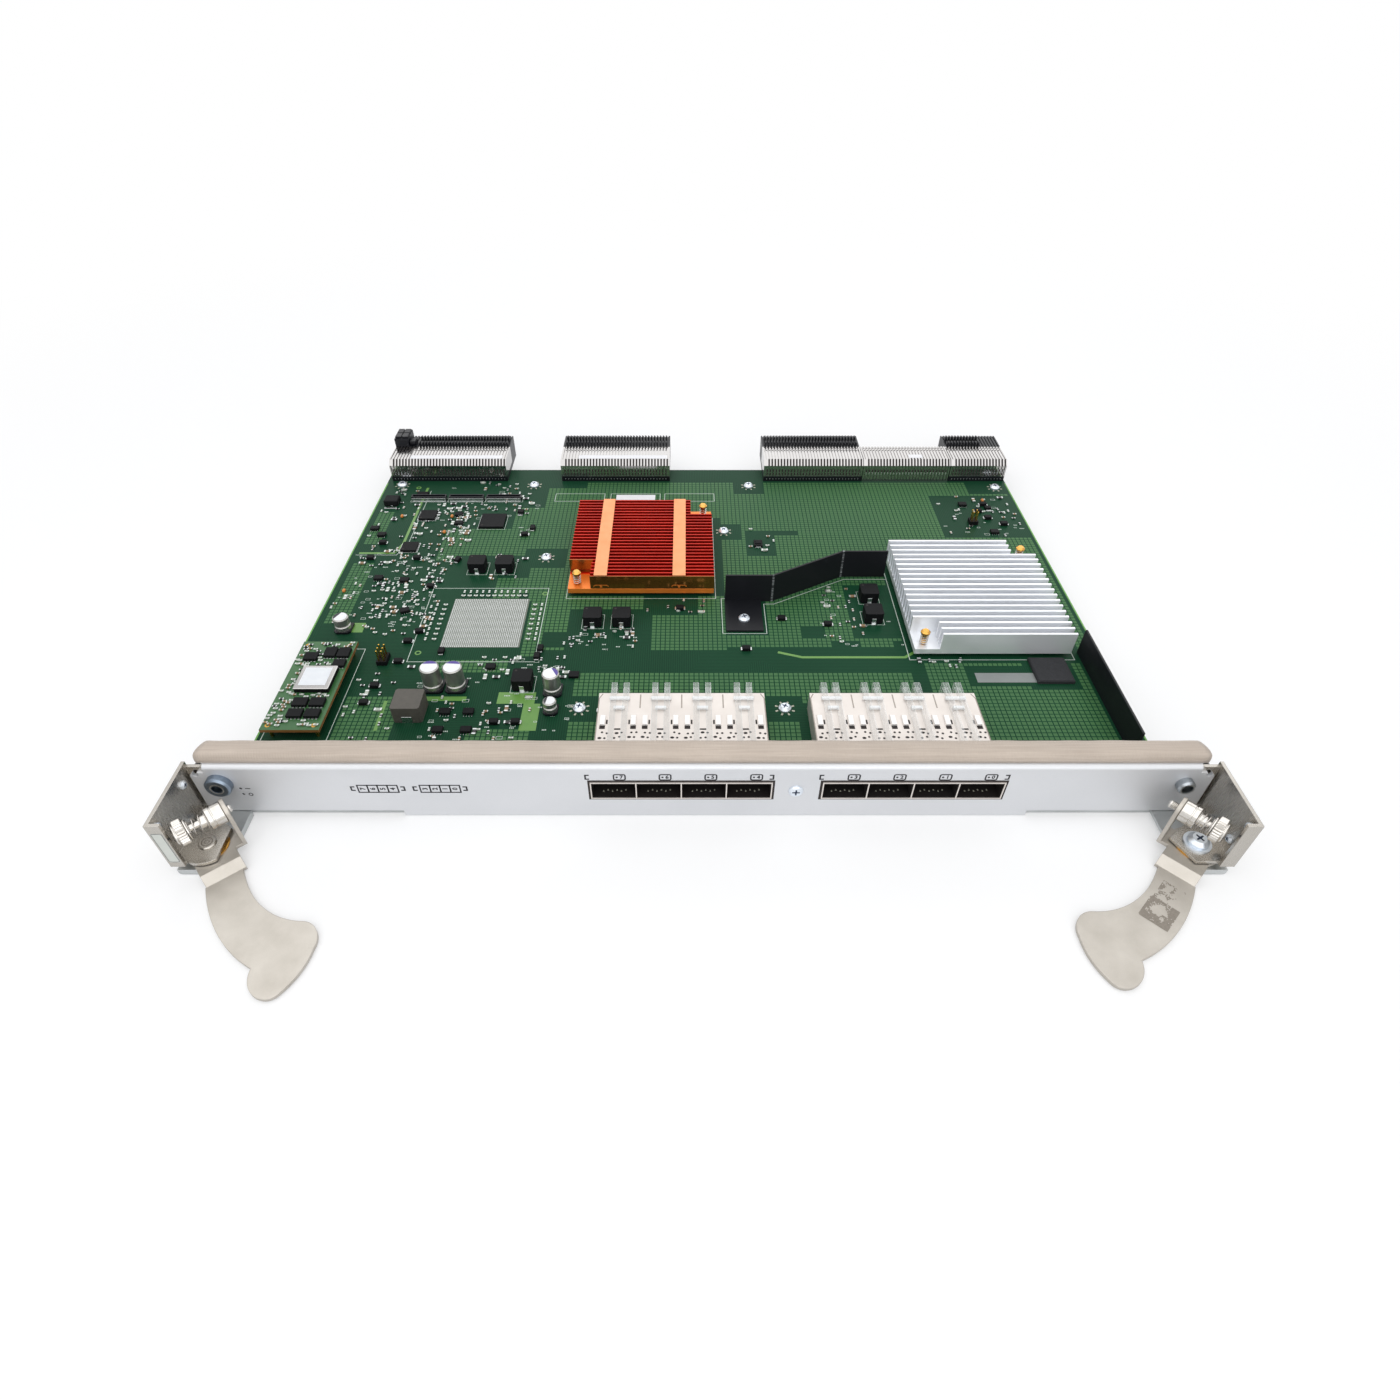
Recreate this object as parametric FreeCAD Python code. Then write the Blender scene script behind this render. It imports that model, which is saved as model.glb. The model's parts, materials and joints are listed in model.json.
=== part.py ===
import FreeCAD, Part
import math
import os

# Switch blade for a network chassis, in millimetres, +Z up, resting on its carrier tray.
# While it is modelled, x = 0 is the blade's centre line, y = 0 the panel's front face and z = 0 the tray's
# underside.
# Every piece is then moved so that the origin is the middle of the tray's underside.

# Width of the blade: the panel leads, and the board, tray, ears and flange keep their distance from its ends
PANEL_WIDTH = 424.6
BOARD_INSET = 9.1
TRAY_INSET = 12.3
EAR_INSET = 0.3
FLANGE_INSET = 6.3

# Carrier tray: one folded steel sheet under the board
SHEET = 1.5
TRAY_BACK = 283.0
TRAY_SIDE_HEIGHT = 6.0
TRAY_FRONT_HEIGHT = 7.5
TRAY_BEND = 1.2
EAR_DEPTH = 20.0

# Main board on its standoffs. Places across the board are measured from its left edge, its middle or its
# right edge.
LEFT = -1
MIDDLE = 0
RIGHT = 1
BOARD_THICKNESS = 3.0
BOARD_FRONT = 4.5
BOARD_BACK = 286.0
STANDOFF_HEIGHT = 7.1
STANDOFF_RADIUS = 3.0
SCREW_RADIUS = 1.5
SCREW_HOLE_RADIUS = 1.6
SCREW_FIT = 0.05
SCREW_HEAD_RADIUS = 3.0
SCREW_HEAD_HEIGHT = 2.0
HEAD_BEVEL = 0.55
BOARD_SCREWS = [
    (LEFT, 10.8, 265.5), (MIDDLE, -106.0, 265.0), (MIDDLE, 34.0, 264.0), (RIGHT, 8.8, 262.0),
    (MIDDLE, 16.0, 209.3), (MIDDLE, -88.0, 181.1), (MIDDLE, -57.2, 54.7), (MIDDLE, 40.0, 54.7),
]

# Front panel: folded sheet with a top flange that carries the gasket
PANEL_HEIGHT = 31.0
PANEL_THICKNESS = 1.5
PANEL_BEND = 2.0
FLANGE_DEPTH = 13.0
TAB_DROP = 1.6
TAB_CORNER = 2.5
NOTCH_LEFT_LENGTH = 83.5
NOTCH_RIGHT_LENGTH = 71.6
NOTCH_GAP = 0.2
CORNER_HOLE_INSET = 2.5
CORNER_HOLE_Z = 26.5
CORNER_HOLE_RADIUS = 1.25
PANEL_SCREW_X = 39.6
PANEL_SCREW_HEIGHT = 4.7
PANEL_SCREW_RADIUS = 2.0
PANEL_SCREW_HEAD_RADIUS = 3.1
PANEL_SCREW_HEAD = 1.2
PANEL_BLOCK_WIDTH = 8.0
PANEL_BLOCK_DEPTH = 9.0
PANEL_BLOCK_HEIGHT = 9.5
LAMP_INSET = 18.0
LAMP_HEIGHTS = (13.9, 17.5)
LAMP_RADIUS = 0.7

# Shielding gasket: foam strip in a metallised fabric sleeve
GASKET_SETBACK = 2.3
GASKET_DEPTH = 9.4
GASKET_HEIGHT = 5.6
GASKET_ROUND = 2.2
GASKET_OVERHANG = 2.7
GASKET_BACK_INSET = 0.7

# Ganged port cages, four bays each
PORTS = 4
PORT_PITCH = 19.0
CAGE_WALL = 0.5
CAGE_HEIGHT = 10.2
CAGE_PROUD = 0.6
CAGE_BACK = 54.5
CAGE_CENTRES = (-8.7, 88.8)
CAGE_GAP = 0.6
PLUG_WIDTH = 16.5
PLUG_HEIGHT = 5.6
PLUG_DEPTH = 13.0
PLUG_SLOT_WIDTH = 14.0
PLUG_SLOT_HEIGHT = 1.4
PLUG_SLOT_DEPTH = 8.0
PIPE_WIDTH = 2.6
PIPE_HEIGHT = 2.2
PIPE_SPACING = 5.6
PIPE_OVERHANG = 6.0
LATCH_WIDTH = 2.2
LATCH_LENGTH = 7.0
LATCH_HEIGHT = 1.0
LATCH_SPACING = 13.8
LATCH_FRONT = 33.0

# Heat sinks and the chips under them
CHIP_SIZE = 40.0
CHIP_HEIGHT = 2.4
SINK_BASE = 3.0
COPPER_LEFT = -71.3
COPPER_FRONT = 143.3
COPPER_WIDTH = 79.8
COPPER_DEPTH = 80.0
COPPER_FINS = 26
COPPER_FIN_THICKNESS = 0.8
COPPER_FIN_HEIGHT = 8.0
COPPER_FOIL = 0.6
STRIP_WIDTH = 7.0
STRIP_THICKNESS = 0.8
STRIP_CENTRES = (18.3, 60.8)
ALUMINIUM_INSET = 16.2
ALUMINIUM_FRONT = 92.0
ALUMINIUM_WIDTH = 79.0
ALUMINIUM_DEPTH = 85.0
ALUMINIUM_FINS = 19
ALUMINIUM_FIN_THICKNESS = 1.3
ALUMINIUM_FIN_HEIGHT = 9.4
NOTCH_WIDTH = 12.5
NOTCH_DEPTH = 14.0
POST_RADIUS = 1.2
POST_HOLE_RADIUS = 1.4
POST_INSET = 5.0
POST_SPRING_LENGTH = 6.5
POST_HEAD_RADIUS = 2.4
POST_HEAD_HEIGHT = 1.6
POST_SPRING_RADIUS = 1.9
POST_SPRING_WIRE = 0.5
POST_SPRING_TURNS = 5
COIL_STEPS = 10
COIL_SIDES = 6

# Air baffles of black sheet
BAFFLE_THICKNESS = 1.0
BAFFLE_HEIGHT = 17.0
BAFFLE_START_X = 14.4
BAFFLE_FRONT_Y = 139.0
BAFFLE_BACK_Y = 162.0
BAFFLE_FIRST_RUN = 25.6
BAFFLE_LAST_RUN = 24.5
BAFFLE_SINK_GAP = 3.0
BAFFLE_FOOT_WIDTH = 19.5
BAFFLE_FOOT_DEPTH = 26.5
BAFFLE_SCREW_INSET = 9.7
SIDE_BAFFLE_INSET = 11.2
SIDE_BAFFLE_FRONT = 24.0
SIDE_BAFFLE_LENGTH = 72.0
SIDE_BAFFLE_HEIGHT = 14.5
SIDE_BAFFLE_FOOT = 5.0

# Connectors along the back edge: edge kept to, left end, width, and whether the stack has a black housing
CONNECTOR_SEAT = 15.0
WAFER_DEPTH = 21.0
WAFER_HEIGHT = 10.5
WAFER_ROUND = 3.0
HOUSING_HEIGHT = 3.4
MATING_DEPTH = 15.0
MATING_HEIGHT = 11.5
WAFER_PITCH = 2.0
GROOVE_WIDTH = 0.7
GROOVE_DEPTH = 0.8
CONNECTORS = [
    (LEFT, 3.0, 76.0, True), (MIDDLE, -88.5, 71.0, True), (RIGHT, 159.1, 64.6, True),
    (RIGHT, 94.1, 56.4, False), (RIGHT, 37.2, 36.4, True),
]
KEY_WIDTH = 9.0
KEY_DEPTH = 14.0
KEY_HEIGHT = 5.0

# Board parts
MODULE_INSET = 4.2
MODULE_FRONT = 34.0
MODULE_WIDTH = 27.0
MODULE_LENGTH = 62.5
MODULE_THICKNESS = 1.6
MODULE_GAP = 5.0
MODULE_PIN_RADIUS = 0.8
MODULE_PIN_INSET = 3.0
MODULE_PARTS = [
    (7.8, 21.7, 16.2, 16.1, 2.2), (4.6, 10.0, 6.4, 5.2, 1.6), (13.6, 6.2, 5.8, 6.6, 1.6),
    (20.2, 6.4, 5.8, 6.6, 1.6), (20.2, 15.2, 5.8, 5.0, 1.6), (9.8, 42.6, 6.8, 5.2, 1.6),
    (17.8, 42.6, 6.8, 5.2, 1.6), (9.8, 50.0, 6.8, 5.2, 1.6), (17.8, 50.0, 6.8, 5.2, 1.6),
]
CANS = [
    (LEFT, 17.2, 114.5, 4.0, 8.5), (LEFT, 74.2, 69.5, 4.6, 13.5), (LEFT, 85.2, 69.5, 4.6, 13.5),
    (MIDDLE, -71.0, 66.5, 4.2, 12.0), (MIDDLE, -70.5, 53.0, 3.2, 7.0),
]
CAN_BASE_HEIGHT = 1.2
CAN_BASE_MARGIN = 0.3
CAN_GROOVE = 0.5
CAN_GROOVE_HEIGHT = 2.6
CAN_BASE_CUT = 1.4
INDUCTOR_SIZE = 9.6
INDUCTOR_HEIGHT = 6.4
INDUCTOR_CHAMFER = 0.8
INDUCTORS = [
    (LEFT, 77.6, 170.0), (LEFT, 93.2, 170.0), (MIDDLE, -56.0, 121.0), (MIDDLE, -40.7, 121.0),
    (RIGHT, 110.2, 142.0), (RIGHT, 110.7, 124.0), (MIDDLE, -86.0, 71.5),
]
LARGE_INDUCTOR = (LEFT, 67.2, 52.0)
LARGE_INDUCTOR_SIZE = 13.5
LARGE_INDUCTOR_HEIGHT = 9.0
CHIPS = [
    (LEFT, 36.2, 227.0, 10.0, 10.0, 1.4), (LEFT, 77.6, 220.0, 15.0, 15.0, 1.6),
    (LEFT, 33.2, 191.5, 9.0, 9.0, 1.4), (LEFT, 27.2, 252.0, 7.0, 5.0, 1.6),
    (MIDDLE, 36.0, 195.0, 5.0, 6.0, 1.4), (MIDDLE, -62.0, 78.0, 5.0, 4.0, 1.4),
]
SLIM_CONNECTORS = [(LEFT, 32.8, 246.5), (LEFT, 56.7, 246.5), (LEFT, 80.5, 246.5)]
SLIM_WIDTH = 22.0
SLIM_DEPTH = 3.6
SLIM_HEIGHT = 3.2
SLIM_WALL = 0.7
SLIM_FLOOR = 1.0
LEFT_HEADER = (LEFT, 44.5, 89.3)
RIGHT_HEADER = (RIGHT, 33.7, 219.0)
LEFT_HEADER_ROWS = 3
RIGHT_HEADER_ROWS = 2
HEADER_PITCH = 2.54
HEADER_HEIGHT = 2.5
HEADER_PIN = 0.64
HEADER_PIN_LENGTH = 8.5
HEADER_PIN_GAP = 0.02
PAD_INSET = 38.2
PAD_FRONT = 72.0
PAD_SIZE = 18.0
PAD_HEIGHT = 2.0
PAD_CHAMFER = 0.5

# Ejectors. In the closed lever's own frame the pivot is at x = y = 0, +x runs along the handle to the blade's
# middle, and +y runs along the thumbscrew to the panel.
PIVOT_SETBACK = 20.0
PIVOT_TO_WALL = 9.5
WALL_GAP = 1.2
WALL_HEIGHT = 31.2
BRACKET_FRONT = 30.8
BRACKET_FLANGE = 6.0
BRACKET_BACK_FLANGE = 14.0
PLATE_INNER = 6.7
PLATE_RADIUS = 10.4
PLATE_SIDE = 3.6
PLATE_NOSE = 4.0
PLATE_POINT = (9.9, 3.0)
LOWER_PLATE_INNER = 9.3
LOWER_PLATE_CHAMFER = 3.5
LIP_ROUND = 1.2
LEVER_GAP = 0.3
THRUST_GAP = 0.05
THRUST_WASHER = 0.4
THRUST_WASHER_RADIUS = 8.0
PIVOT_RADIUS = 2.5
PIVOT_CLEARANCE = 0.05
RIVET_HEAD_RADIUS = 3.6
RIVET_HEAD_HEIGHT = 0.8
PIVOT_WASHER_RADIUS = 5.5
PIVOT_WASHER = 0.8
PIVOT_HEAD_RADIUS = 4.2
PIVOT_HEAD_HEIGHT = 2.6
BUSH_X = -6.5
BUSH_Y = 12.5
BUSH_RADIUS = 2.6
BUSH_SCREW_RADIUS = 1.25
BUSH_HEAD_RADIUS = 2.2
BUSH_HEAD_HEIGHT = 1.6
WALL_SCREW_RADIUS = 1.2
WALL_SCREW_HEAD_RADIUS = 1.9
WALL_SCREW_HEAD_HEIGHT = 1.5
LEFT_WALL_SCREWS = [(-4.8, 25.5), (-27.0, 26.0)]
RIGHT_WALL_SCREWS = [(-27.0, 26.0), (-23.0, 13.4)]

LEVER_THICKNESS = 1.5
LEVER_HUB_RADIUS = 9.8
LEVER_NECK = 8.0
JOGGLE_START = 13.5
JOGGLE_LENGTH = 4.0
TABLE_GAP = 0.3
OUTER_EDGE = [(17.5, -8.3), (30.0, -11.0), (46.0, -11.4), (64.3, -6.8)]
HEEL_EDGE = [(64.3, -6.8), (69.0, -9.8), (75.0, -10.2), (80.0, -7.0), (80.6, -2.0)]
TIP_EDGE = [(80.6, -2.0), (77.4, 6.5), (71.0, 14.5)]
NOSE_EDGE = [(71.0, 14.5), (66.5, 17.8), (61.5, 18.2), (57.0, 15.6)]
INNER_EDGE = [(57.0, 15.6), (48.5, 9.0), (38.0, 5.6), (27.0, 5.2), (17.5, 6.6)]
TAB_Y = 11.0
TAB_WIDTH = 10.0
TAB_TOP = 25.6
SCREW_OFFSET = 2.5
SCREW_HEIGHT = 21.0
FERRULE_RADIUS = 4.75
FERRULE_LENGTH = 6.5
FERRULE_SPIGOT_RADIUS = 2.9
FERRULE_FIT = 0.02
HUB_RADIUS = 2.6
HUB_LENGTH = 3.0
FERRULE_BORE_RADIUS = 2.0
THREAD_RADIUS = 1.75
SHANK_RADIUS = 1.4
THREAD_LENGTH = 7.0
TIP_PROUD = 1.5
KNOB_RADIUS = 5.5
KNOB_LENGTH = 5.0
KNOB_CHAMFER = 0.8
KNOB_SLOT_WIDTH = 1.2
KNOB_SLOT_DEPTH = 1.2
SCREW_WASHER_RADIUS = 4.6
SCREW_WASHER = 0.5
SCREW_WASHER_GAP = 0.05
SPRING_LENGTH = 7.5
SPRING_RADIUS = 3.3
SPRING_WIRE = 0.6
SPRING_TURNS = 4
SPRING_GAP = 0.05
INSERT_PROUD = 3.5
INSERT_BORE_RADIUS = 2.2
INSERT_SHANK_RADIUS = 3.0
LEFT_INSERT_RADIUS = 5.4
RIGHT_INSERT_RADIUS = 3.6
LEFT_OPENING = 50.0
RIGHT_OPENING = 45.0
LEFT_PRESS = 0.0
RIGHT_PRESS = 2.0

# Widths, levels and places that follow from the sizes above
BOARD_WIDTH = PANEL_WIDTH - 2 * BOARD_INSET
TRAY_WIDTH = PANEL_WIDTH - 2 * TRAY_INSET
EAR_WIDTH = PANEL_WIDTH - 2 * EAR_INSET
FLANGE_WIDTH = PANEL_WIDTH - 2 * FLANGE_INSET
NOTCH_LEFT = PANEL_WIDTH / 2 - NOTCH_LEFT_LENGTH
NOTCH_RIGHT = PANEL_WIDTH / 2 - NOTCH_RIGHT_LENGTH
CORNER_HOLE_X = PANEL_WIDTH / 2 - CORNER_HOLE_INSET
LAMP_X = LAMP_INSET - PANEL_WIDTH / 2
GASKET_FRONT_LENGTH = FLANGE_WIDTH + 2 * GASKET_OVERHANG
GASKET_BACK_LENGTH = FLANGE_WIDTH - 2 * GASKET_BACK_INSET
ALUMINIUM_LEFT = BOARD_WIDTH / 2 - ALUMINIUM_INSET - ALUMINIUM_WIDTH
SIDE_BAFFLE_X = BOARD_WIDTH / 2 - SIDE_BAFFLE_INSET
MODULE_LEFT = MODULE_INSET - BOARD_WIDTH / 2
PAD_LEFT = BOARD_WIDTH / 2 - PAD_INSET
CONNECTOR_FRONT = BOARD_BACK - CONNECTOR_SEAT
HEADERS = [(LEFT_HEADER, LEFT_HEADER_ROWS), (RIGHT_HEADER, RIGHT_HEADER_ROWS)]
BAFFLE_END_X = ALUMINIUM_LEFT - BAFFLE_SINK_GAP
BAFFLE_PATH = [
    (BAFFLE_START_X, BAFFLE_FRONT_Y), (BAFFLE_START_X + BAFFLE_FIRST_RUN, BAFFLE_FRONT_Y),
    (BAFFLE_END_X - BAFFLE_LAST_RUN, BAFFLE_BACK_Y), (BAFFLE_END_X, BAFFLE_BACK_Y),
]
BOARD_TOP = SHEET + STANDOFF_HEIGHT + BOARD_THICKNESS
BOARD_BOTTOM = SHEET + STANDOFF_HEIGHT
CAGE_TOP = BOARD_TOP + CAGE_HEIGHT
CAGE_WIDTH = PORTS * PORT_PITCH + CAGE_WALL
SINK_BOTTOM = BOARD_TOP + CHIP_HEIGHT
SINK_TOP = SINK_BOTTOM + SINK_BASE
PANEL_SCREW_Z = BOARD_TOP + PANEL_SCREW_HEIGHT
LOWER_PLATE_TOP = 2 * SHEET
LEVER_BOTTOM = LOWER_PLATE_TOP + LEVER_GAP
LEVER_TOP = LEVER_BOTTOM + LEVER_THICKNESS
WASHER_BOTTOM = LEVER_TOP + THRUST_GAP
PLATE_BOTTOM = WASHER_BOTTOM + THRUST_WASHER
PLATE_TOP = PLATE_BOTTOM + SHEET
WALL_INNER = PANEL_WIDTH / 2 + WALL_GAP
PIVOT_X = WALL_INNER - PIVOT_TO_WALL
NOTCH_TOP = LOWER_PLATE_TOP + NOTCH_GAP
INSERT_X = PIVOT_X - SCREW_OFFSET
FERRULE_FRONT = TAB_Y - FERRULE_LENGTH
KNOB_FACE = FERRULE_FRONT - SPRING_LENGTH - SCREW_WASHER - SCREW_WASHER_GAP
SCREW_TIP = TAB_Y + LEVER_THICKNESS + TIP_PROUD
ORIGIN = FreeCAD.Vector(0, -(PANEL_THICKNESS + TRAY_BACK) / 2, 0)

X_AXIS = FreeCAD.Vector(1, 0, 0)
Y_AXIS = FreeCAD.Vector(0, 1, 0)
Z_AXIS = FreeCAD.Vector(0, 0, 1)
TOUCH = 0.01

os.makedirs("parts", exist_ok=True)


# Shapes used by several pieces

def save(name, *solids):
    """Writes one node: a single solid, or a group of separate ones."""
    shape = solids[0] if len(solids) == 1 else Part.makeCompound(list(solids))
    shape = shape.copy()
    shape.translate(ORIGIN)
    shape.exportStep("parts/" + name + ".step")


def across(edge, x):
    """A place across the board, from its left edge, its middle or its right edge."""
    if edge < 0:
        return x - BOARD_WIDTH / 2
    if edge > 0:
        return BOARD_WIDTH / 2 - x
    return x


def screw_places():
    return [(across(edge, x), y) for edge, x, y in BOARD_SCREWS]


def block(x0, x1, y0, y1, z0, z1):
    """Box between two corners."""
    return Part.makeBox(x1 - x0, y1 - y0, z1 - z0, FreeCAD.Vector(x0, y0, z0))


def upright(x, y, z0, z1, radius):
    """Round bar along z."""
    return Part.makeCylinder(radius, z1 - z0, FreeCAD.Vector(x, y, z0), Z_AXIS)


def bar(x, z, y0, y1, radius):
    """Round bar along y."""
    return Part.makeCylinder(radius, y1 - y0, FreeCAD.Vector(x, y0, z), Y_AXIS)


def join(shapes):
    """One solid out of touching or overlapping ones."""
    return shapes[0].multiFuse(shapes[1:]).removeSplitter()


def plan(points, z0, z1):
    """Straight-sided outline, drawn from above, raised from z0 to z1."""
    corners = [FreeCAD.Vector(x, y, z0) for x, y in points]
    face = Part.Face(Part.makePolygon(corners + corners[:1]))
    return face.extrude(FreeCAD.Vector(0, 0, z1 - z0))


def section(points, x0, x1):
    """Straight-sided outline in y and z, drawn out along x."""
    corners = [FreeCAD.Vector(x0, y, z) for y, z in points]
    face = Part.Face(Part.makePolygon(corners + corners[:1]))
    return face.extrude(FreeCAD.Vector(x1 - x0, 0, 0))


def edges_along(shape, direction, at):
    """Straight edges parallel to a direction whose middle passes the test."""
    found = []
    for edge in shape.Edges:
        run = edge.Vertexes[-1].Point - edge.Vertexes[0].Point
        if run.Length > 0 and run.cross(direction).Length < 1e-6 * run.Length and at(edge.CenterOfMass):
            found.append(edge)
    return found


def coil(radius, wire_radius, length, turns):
    """Open coil spring along z, standing on z = 0, with its wire inside its length."""
    rise = length - 2 * wire_radius
    count = turns * COIL_STEPS
    rings = []
    for i in range(count + 1):
        angle = 2 * math.pi * i / COIL_STEPS
        outward = FreeCAD.Vector(math.cos(angle), math.sin(angle), 0)
        middle = outward * radius + Z_AXIS * (wire_radius + rise * i / count)
        corners = []
        for k in range(COIL_SIDES):
            turn = 2 * math.pi * (k + 0.5) / COIL_SIDES
            across_wire = outward * (wire_radius * math.cos(turn))
            corners.append(middle + across_wire + Z_AXIS * (wire_radius * math.sin(turn)))
        rings.append(Part.makePolygon(corners + corners[:1]))
    return Part.makeLoft(rings, True, True)


# Carrier tray with ears under the ejectors, low side walls and a front wall behind the panel

def carrier_tray():
    half = TRAY_WIDTH / 2
    floor = block(-half, half, PANEL_THICKNESS, TRAY_BACK, 0, SHEET)
    ears = block(-EAR_WIDTH / 2, EAR_WIDTH / 2, PANEL_THICKNESS, PANEL_THICKNESS + EAR_DEPTH, 0, SHEET)
    front = block(-NOTCH_LEFT, NOTCH_RIGHT, PANEL_THICKNESS, PANEL_THICKNESS + SHEET, 0, TRAY_FRONT_HEIGHT)
    walls = []
    for side in (-1, 1):
        edge = sorted((side * half, side * (half - SHEET)))
        walls.append(block(edge[0], edge[1], PANEL_THICKNESS + EAR_DEPTH + SHEET, TRAY_BACK,
                           0, TRAY_SIDE_HEIGHT))
    tray = join([floor, ears, front] + walls)
    bends = edges_along(tray, Y_AXIS, lambda p: p.z < TOUCH and abs(abs(p.x) - half) < TOUCH)
    return tray.makeFillet(TRAY_BEND, bends)


def tray_standoffs():
    posts = []
    for x, y in screw_places():
        post = upright(x, y, SHEET, BOARD_BOTTOM, STANDOFF_RADIUS)
        posts.append(post.cut(upright(x, y, SHEET, BOARD_BOTTOM, SCREW_RADIUS)))
    return posts


# Main board, drilled for its screws and for the sinks' hold-down screws

def sink_posts():
    """Places of the hold-down screws: front left and back right of each sink."""
    places = []
    for left, front, width, depth in (
        (COPPER_LEFT, COPPER_FRONT, COPPER_WIDTH, COPPER_DEPTH),
        (ALUMINIUM_LEFT, ALUMINIUM_FRONT, ALUMINIUM_WIDTH, ALUMINIUM_DEPTH),
    ):
        places.append((left + POST_INSET, front + POST_INSET))
        places.append((left + width - POST_INSET, front + depth - POST_INSET))
    return places


def baffle_screw_place():
    x, y = BAFFLE_PATH[0]
    return x + BAFFLE_SCREW_INSET, y - BAFFLE_FOOT_DEPTH + BAFFLE_SCREW_INSET


def main_board():
    board = block(-BOARD_WIDTH / 2, BOARD_WIDTH / 2, BOARD_FRONT, BOARD_BACK, BOARD_BOTTOM, BOARD_TOP)
    holes = [upright(x, y, BOARD_BOTTOM, BOARD_TOP, SCREW_HOLE_RADIUS) for x, y in screw_places()]
    holes += [upright(x, y, BOARD_BOTTOM, BOARD_TOP, POST_HOLE_RADIUS) for x, y in sink_posts()]
    holes.append(upright(*baffle_screw_place(), BOARD_BOTTOM, BOARD_TOP, SCREW_HOLE_RADIUS))
    return board.cut(Part.makeCompound(holes))


def pan_head(x, y, z, radius, height):
    """Low bevelled screw head standing on z."""
    head = upright(x, y, z, z + height, radius)
    rim = [edge for edge in head.Edges if edge.Closed and edge.CenterOfMass.z > z + height / 2]
    return head.makeChamfer(height * HEAD_BEVEL, rim)


def board_screws():
    screws = []
    for x, y in screw_places():
        head = pan_head(x, y, BOARD_TOP, SCREW_HEAD_RADIUS, SCREW_HEAD_HEIGHT)
        screws.append(head.fuse(upright(x, y, SHEET, BOARD_TOP, SCREW_RADIUS - SCREW_FIT)))
    return screws


# Front panel, its centre screw and the threaded block behind it

def front_panel():
    half = FLANGE_WIDTH / 2
    profile = [
        (0, 0), (PANEL_THICKNESS, 0), (PANEL_THICKNESS, PANEL_HEIGHT - PANEL_THICKNESS),
        (FLANGE_DEPTH, PANEL_HEIGHT - PANEL_THICKNESS), (FLANGE_DEPTH, PANEL_HEIGHT), (0, PANEL_HEIGHT),
    ]
    folded = section(profile, -half, half)
    bend = edges_along(folded, X_AXIS, lambda p: p.y < TOUCH and p.z > PANEL_HEIGHT - TOUCH)
    folded = folded.makeFillet(PANEL_BEND, bend)
    tabs = block(-PANEL_WIDTH / 2, PANEL_WIDTH / 2, 0, PANEL_THICKNESS,
                 0, PANEL_HEIGHT - PANEL_BEND - TAB_DROP)
    corners = edges_along(tabs, Y_AXIS, lambda p: p.z > TAB_CORNER)
    panel = join([folded, tabs.makeFillet(TAB_CORNER, corners)])
    cuts = [
        block(-PANEL_WIDTH / 2, -NOTCH_LEFT, 0, PANEL_THICKNESS, 0, NOTCH_TOP),
        block(NOTCH_RIGHT, PANEL_WIDTH / 2, 0, PANEL_THICKNESS, 0, NOTCH_TOP),
        bar(PANEL_SCREW_X, PANEL_SCREW_Z, 0, PANEL_THICKNESS, PANEL_SCREW_RADIUS + SCREW_FIT),
    ]
    for centre in CAGE_CENTRES:
        reach = CAGE_WIDTH / 2 + CAGE_GAP
        cuts.append(block(centre - reach, centre + reach, 0, PANEL_THICKNESS, BOARD_TOP - CAGE_GAP,
                          CAGE_TOP + CAGE_GAP))
    for side in (-1, 1):
        cuts.append(bar(side * CORNER_HOLE_X, CORNER_HOLE_Z, 0, PANEL_THICKNESS, CORNER_HOLE_RADIUS))
        cuts.append(bar(side * INSERT_X, SCREW_HEIGHT, 0, PANEL_THICKNESS, INSERT_SHANK_RADIUS))
    for z in LAMP_HEIGHTS:
        cuts.append(bar(LAMP_X, z, 0, PANEL_THICKNESS, LAMP_RADIUS))
    return panel.cut(Part.makeCompound(cuts))


def panel_screw():
    shank = bar(PANEL_SCREW_X, PANEL_SCREW_Z, 0, PANEL_BLOCK_DEPTH, PANEL_SCREW_RADIUS)
    head = bar(PANEL_SCREW_X, PANEL_SCREW_Z, -PANEL_SCREW_HEAD, 0, PANEL_SCREW_HEAD_RADIUS)
    rim = [edge for edge in head.Edges if edge.Closed and edge.CenterOfMass.y < -PANEL_SCREW_HEAD / 2]
    return head.makeChamfer(PANEL_SCREW_HEAD * HEAD_BEVEL, rim).fuse(shank)


def panel_block():
    half = PANEL_BLOCK_WIDTH / 2
    body = block(PANEL_SCREW_X - half, PANEL_SCREW_X + half,
                 PANEL_THICKNESS, PANEL_THICKNESS + PANEL_BLOCK_DEPTH,
                 BOARD_TOP, BOARD_TOP + PANEL_BLOCK_HEIGHT)
    return body.cut(bar(PANEL_SCREW_X, PANEL_SCREW_Z, PANEL_THICKNESS, PANEL_THICKNESS + PANEL_BLOCK_DEPTH,
                        PANEL_SCREW_RADIUS + SCREW_FIT))


def emi_gasket():
    front = GASKET_SETBACK
    back = GASKET_SETBACK + GASKET_DEPTH
    long = GASKET_FRONT_LENGTH / 2
    short = GASKET_BACK_LENGTH / 2
    strip = plan([(-long, front), (long, front), (short, back), (-short, back)],
                 PANEL_HEIGHT, PANEL_HEIGHT + GASKET_HEIGHT)
    crown = edges_along(strip, X_AXIS, lambda p: p.z > PANEL_HEIGHT + GASKET_HEIGHT - TOUCH)
    return strip.makeFillet(GASKET_ROUND, crown)


# Port cages, the plug connectors at the back of each bay, and the light pipes over them

def bay_centres(centre):
    return [centre + (i - (PORTS - 1) / 2) * PORT_PITCH for i in range(PORTS)]


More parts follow.
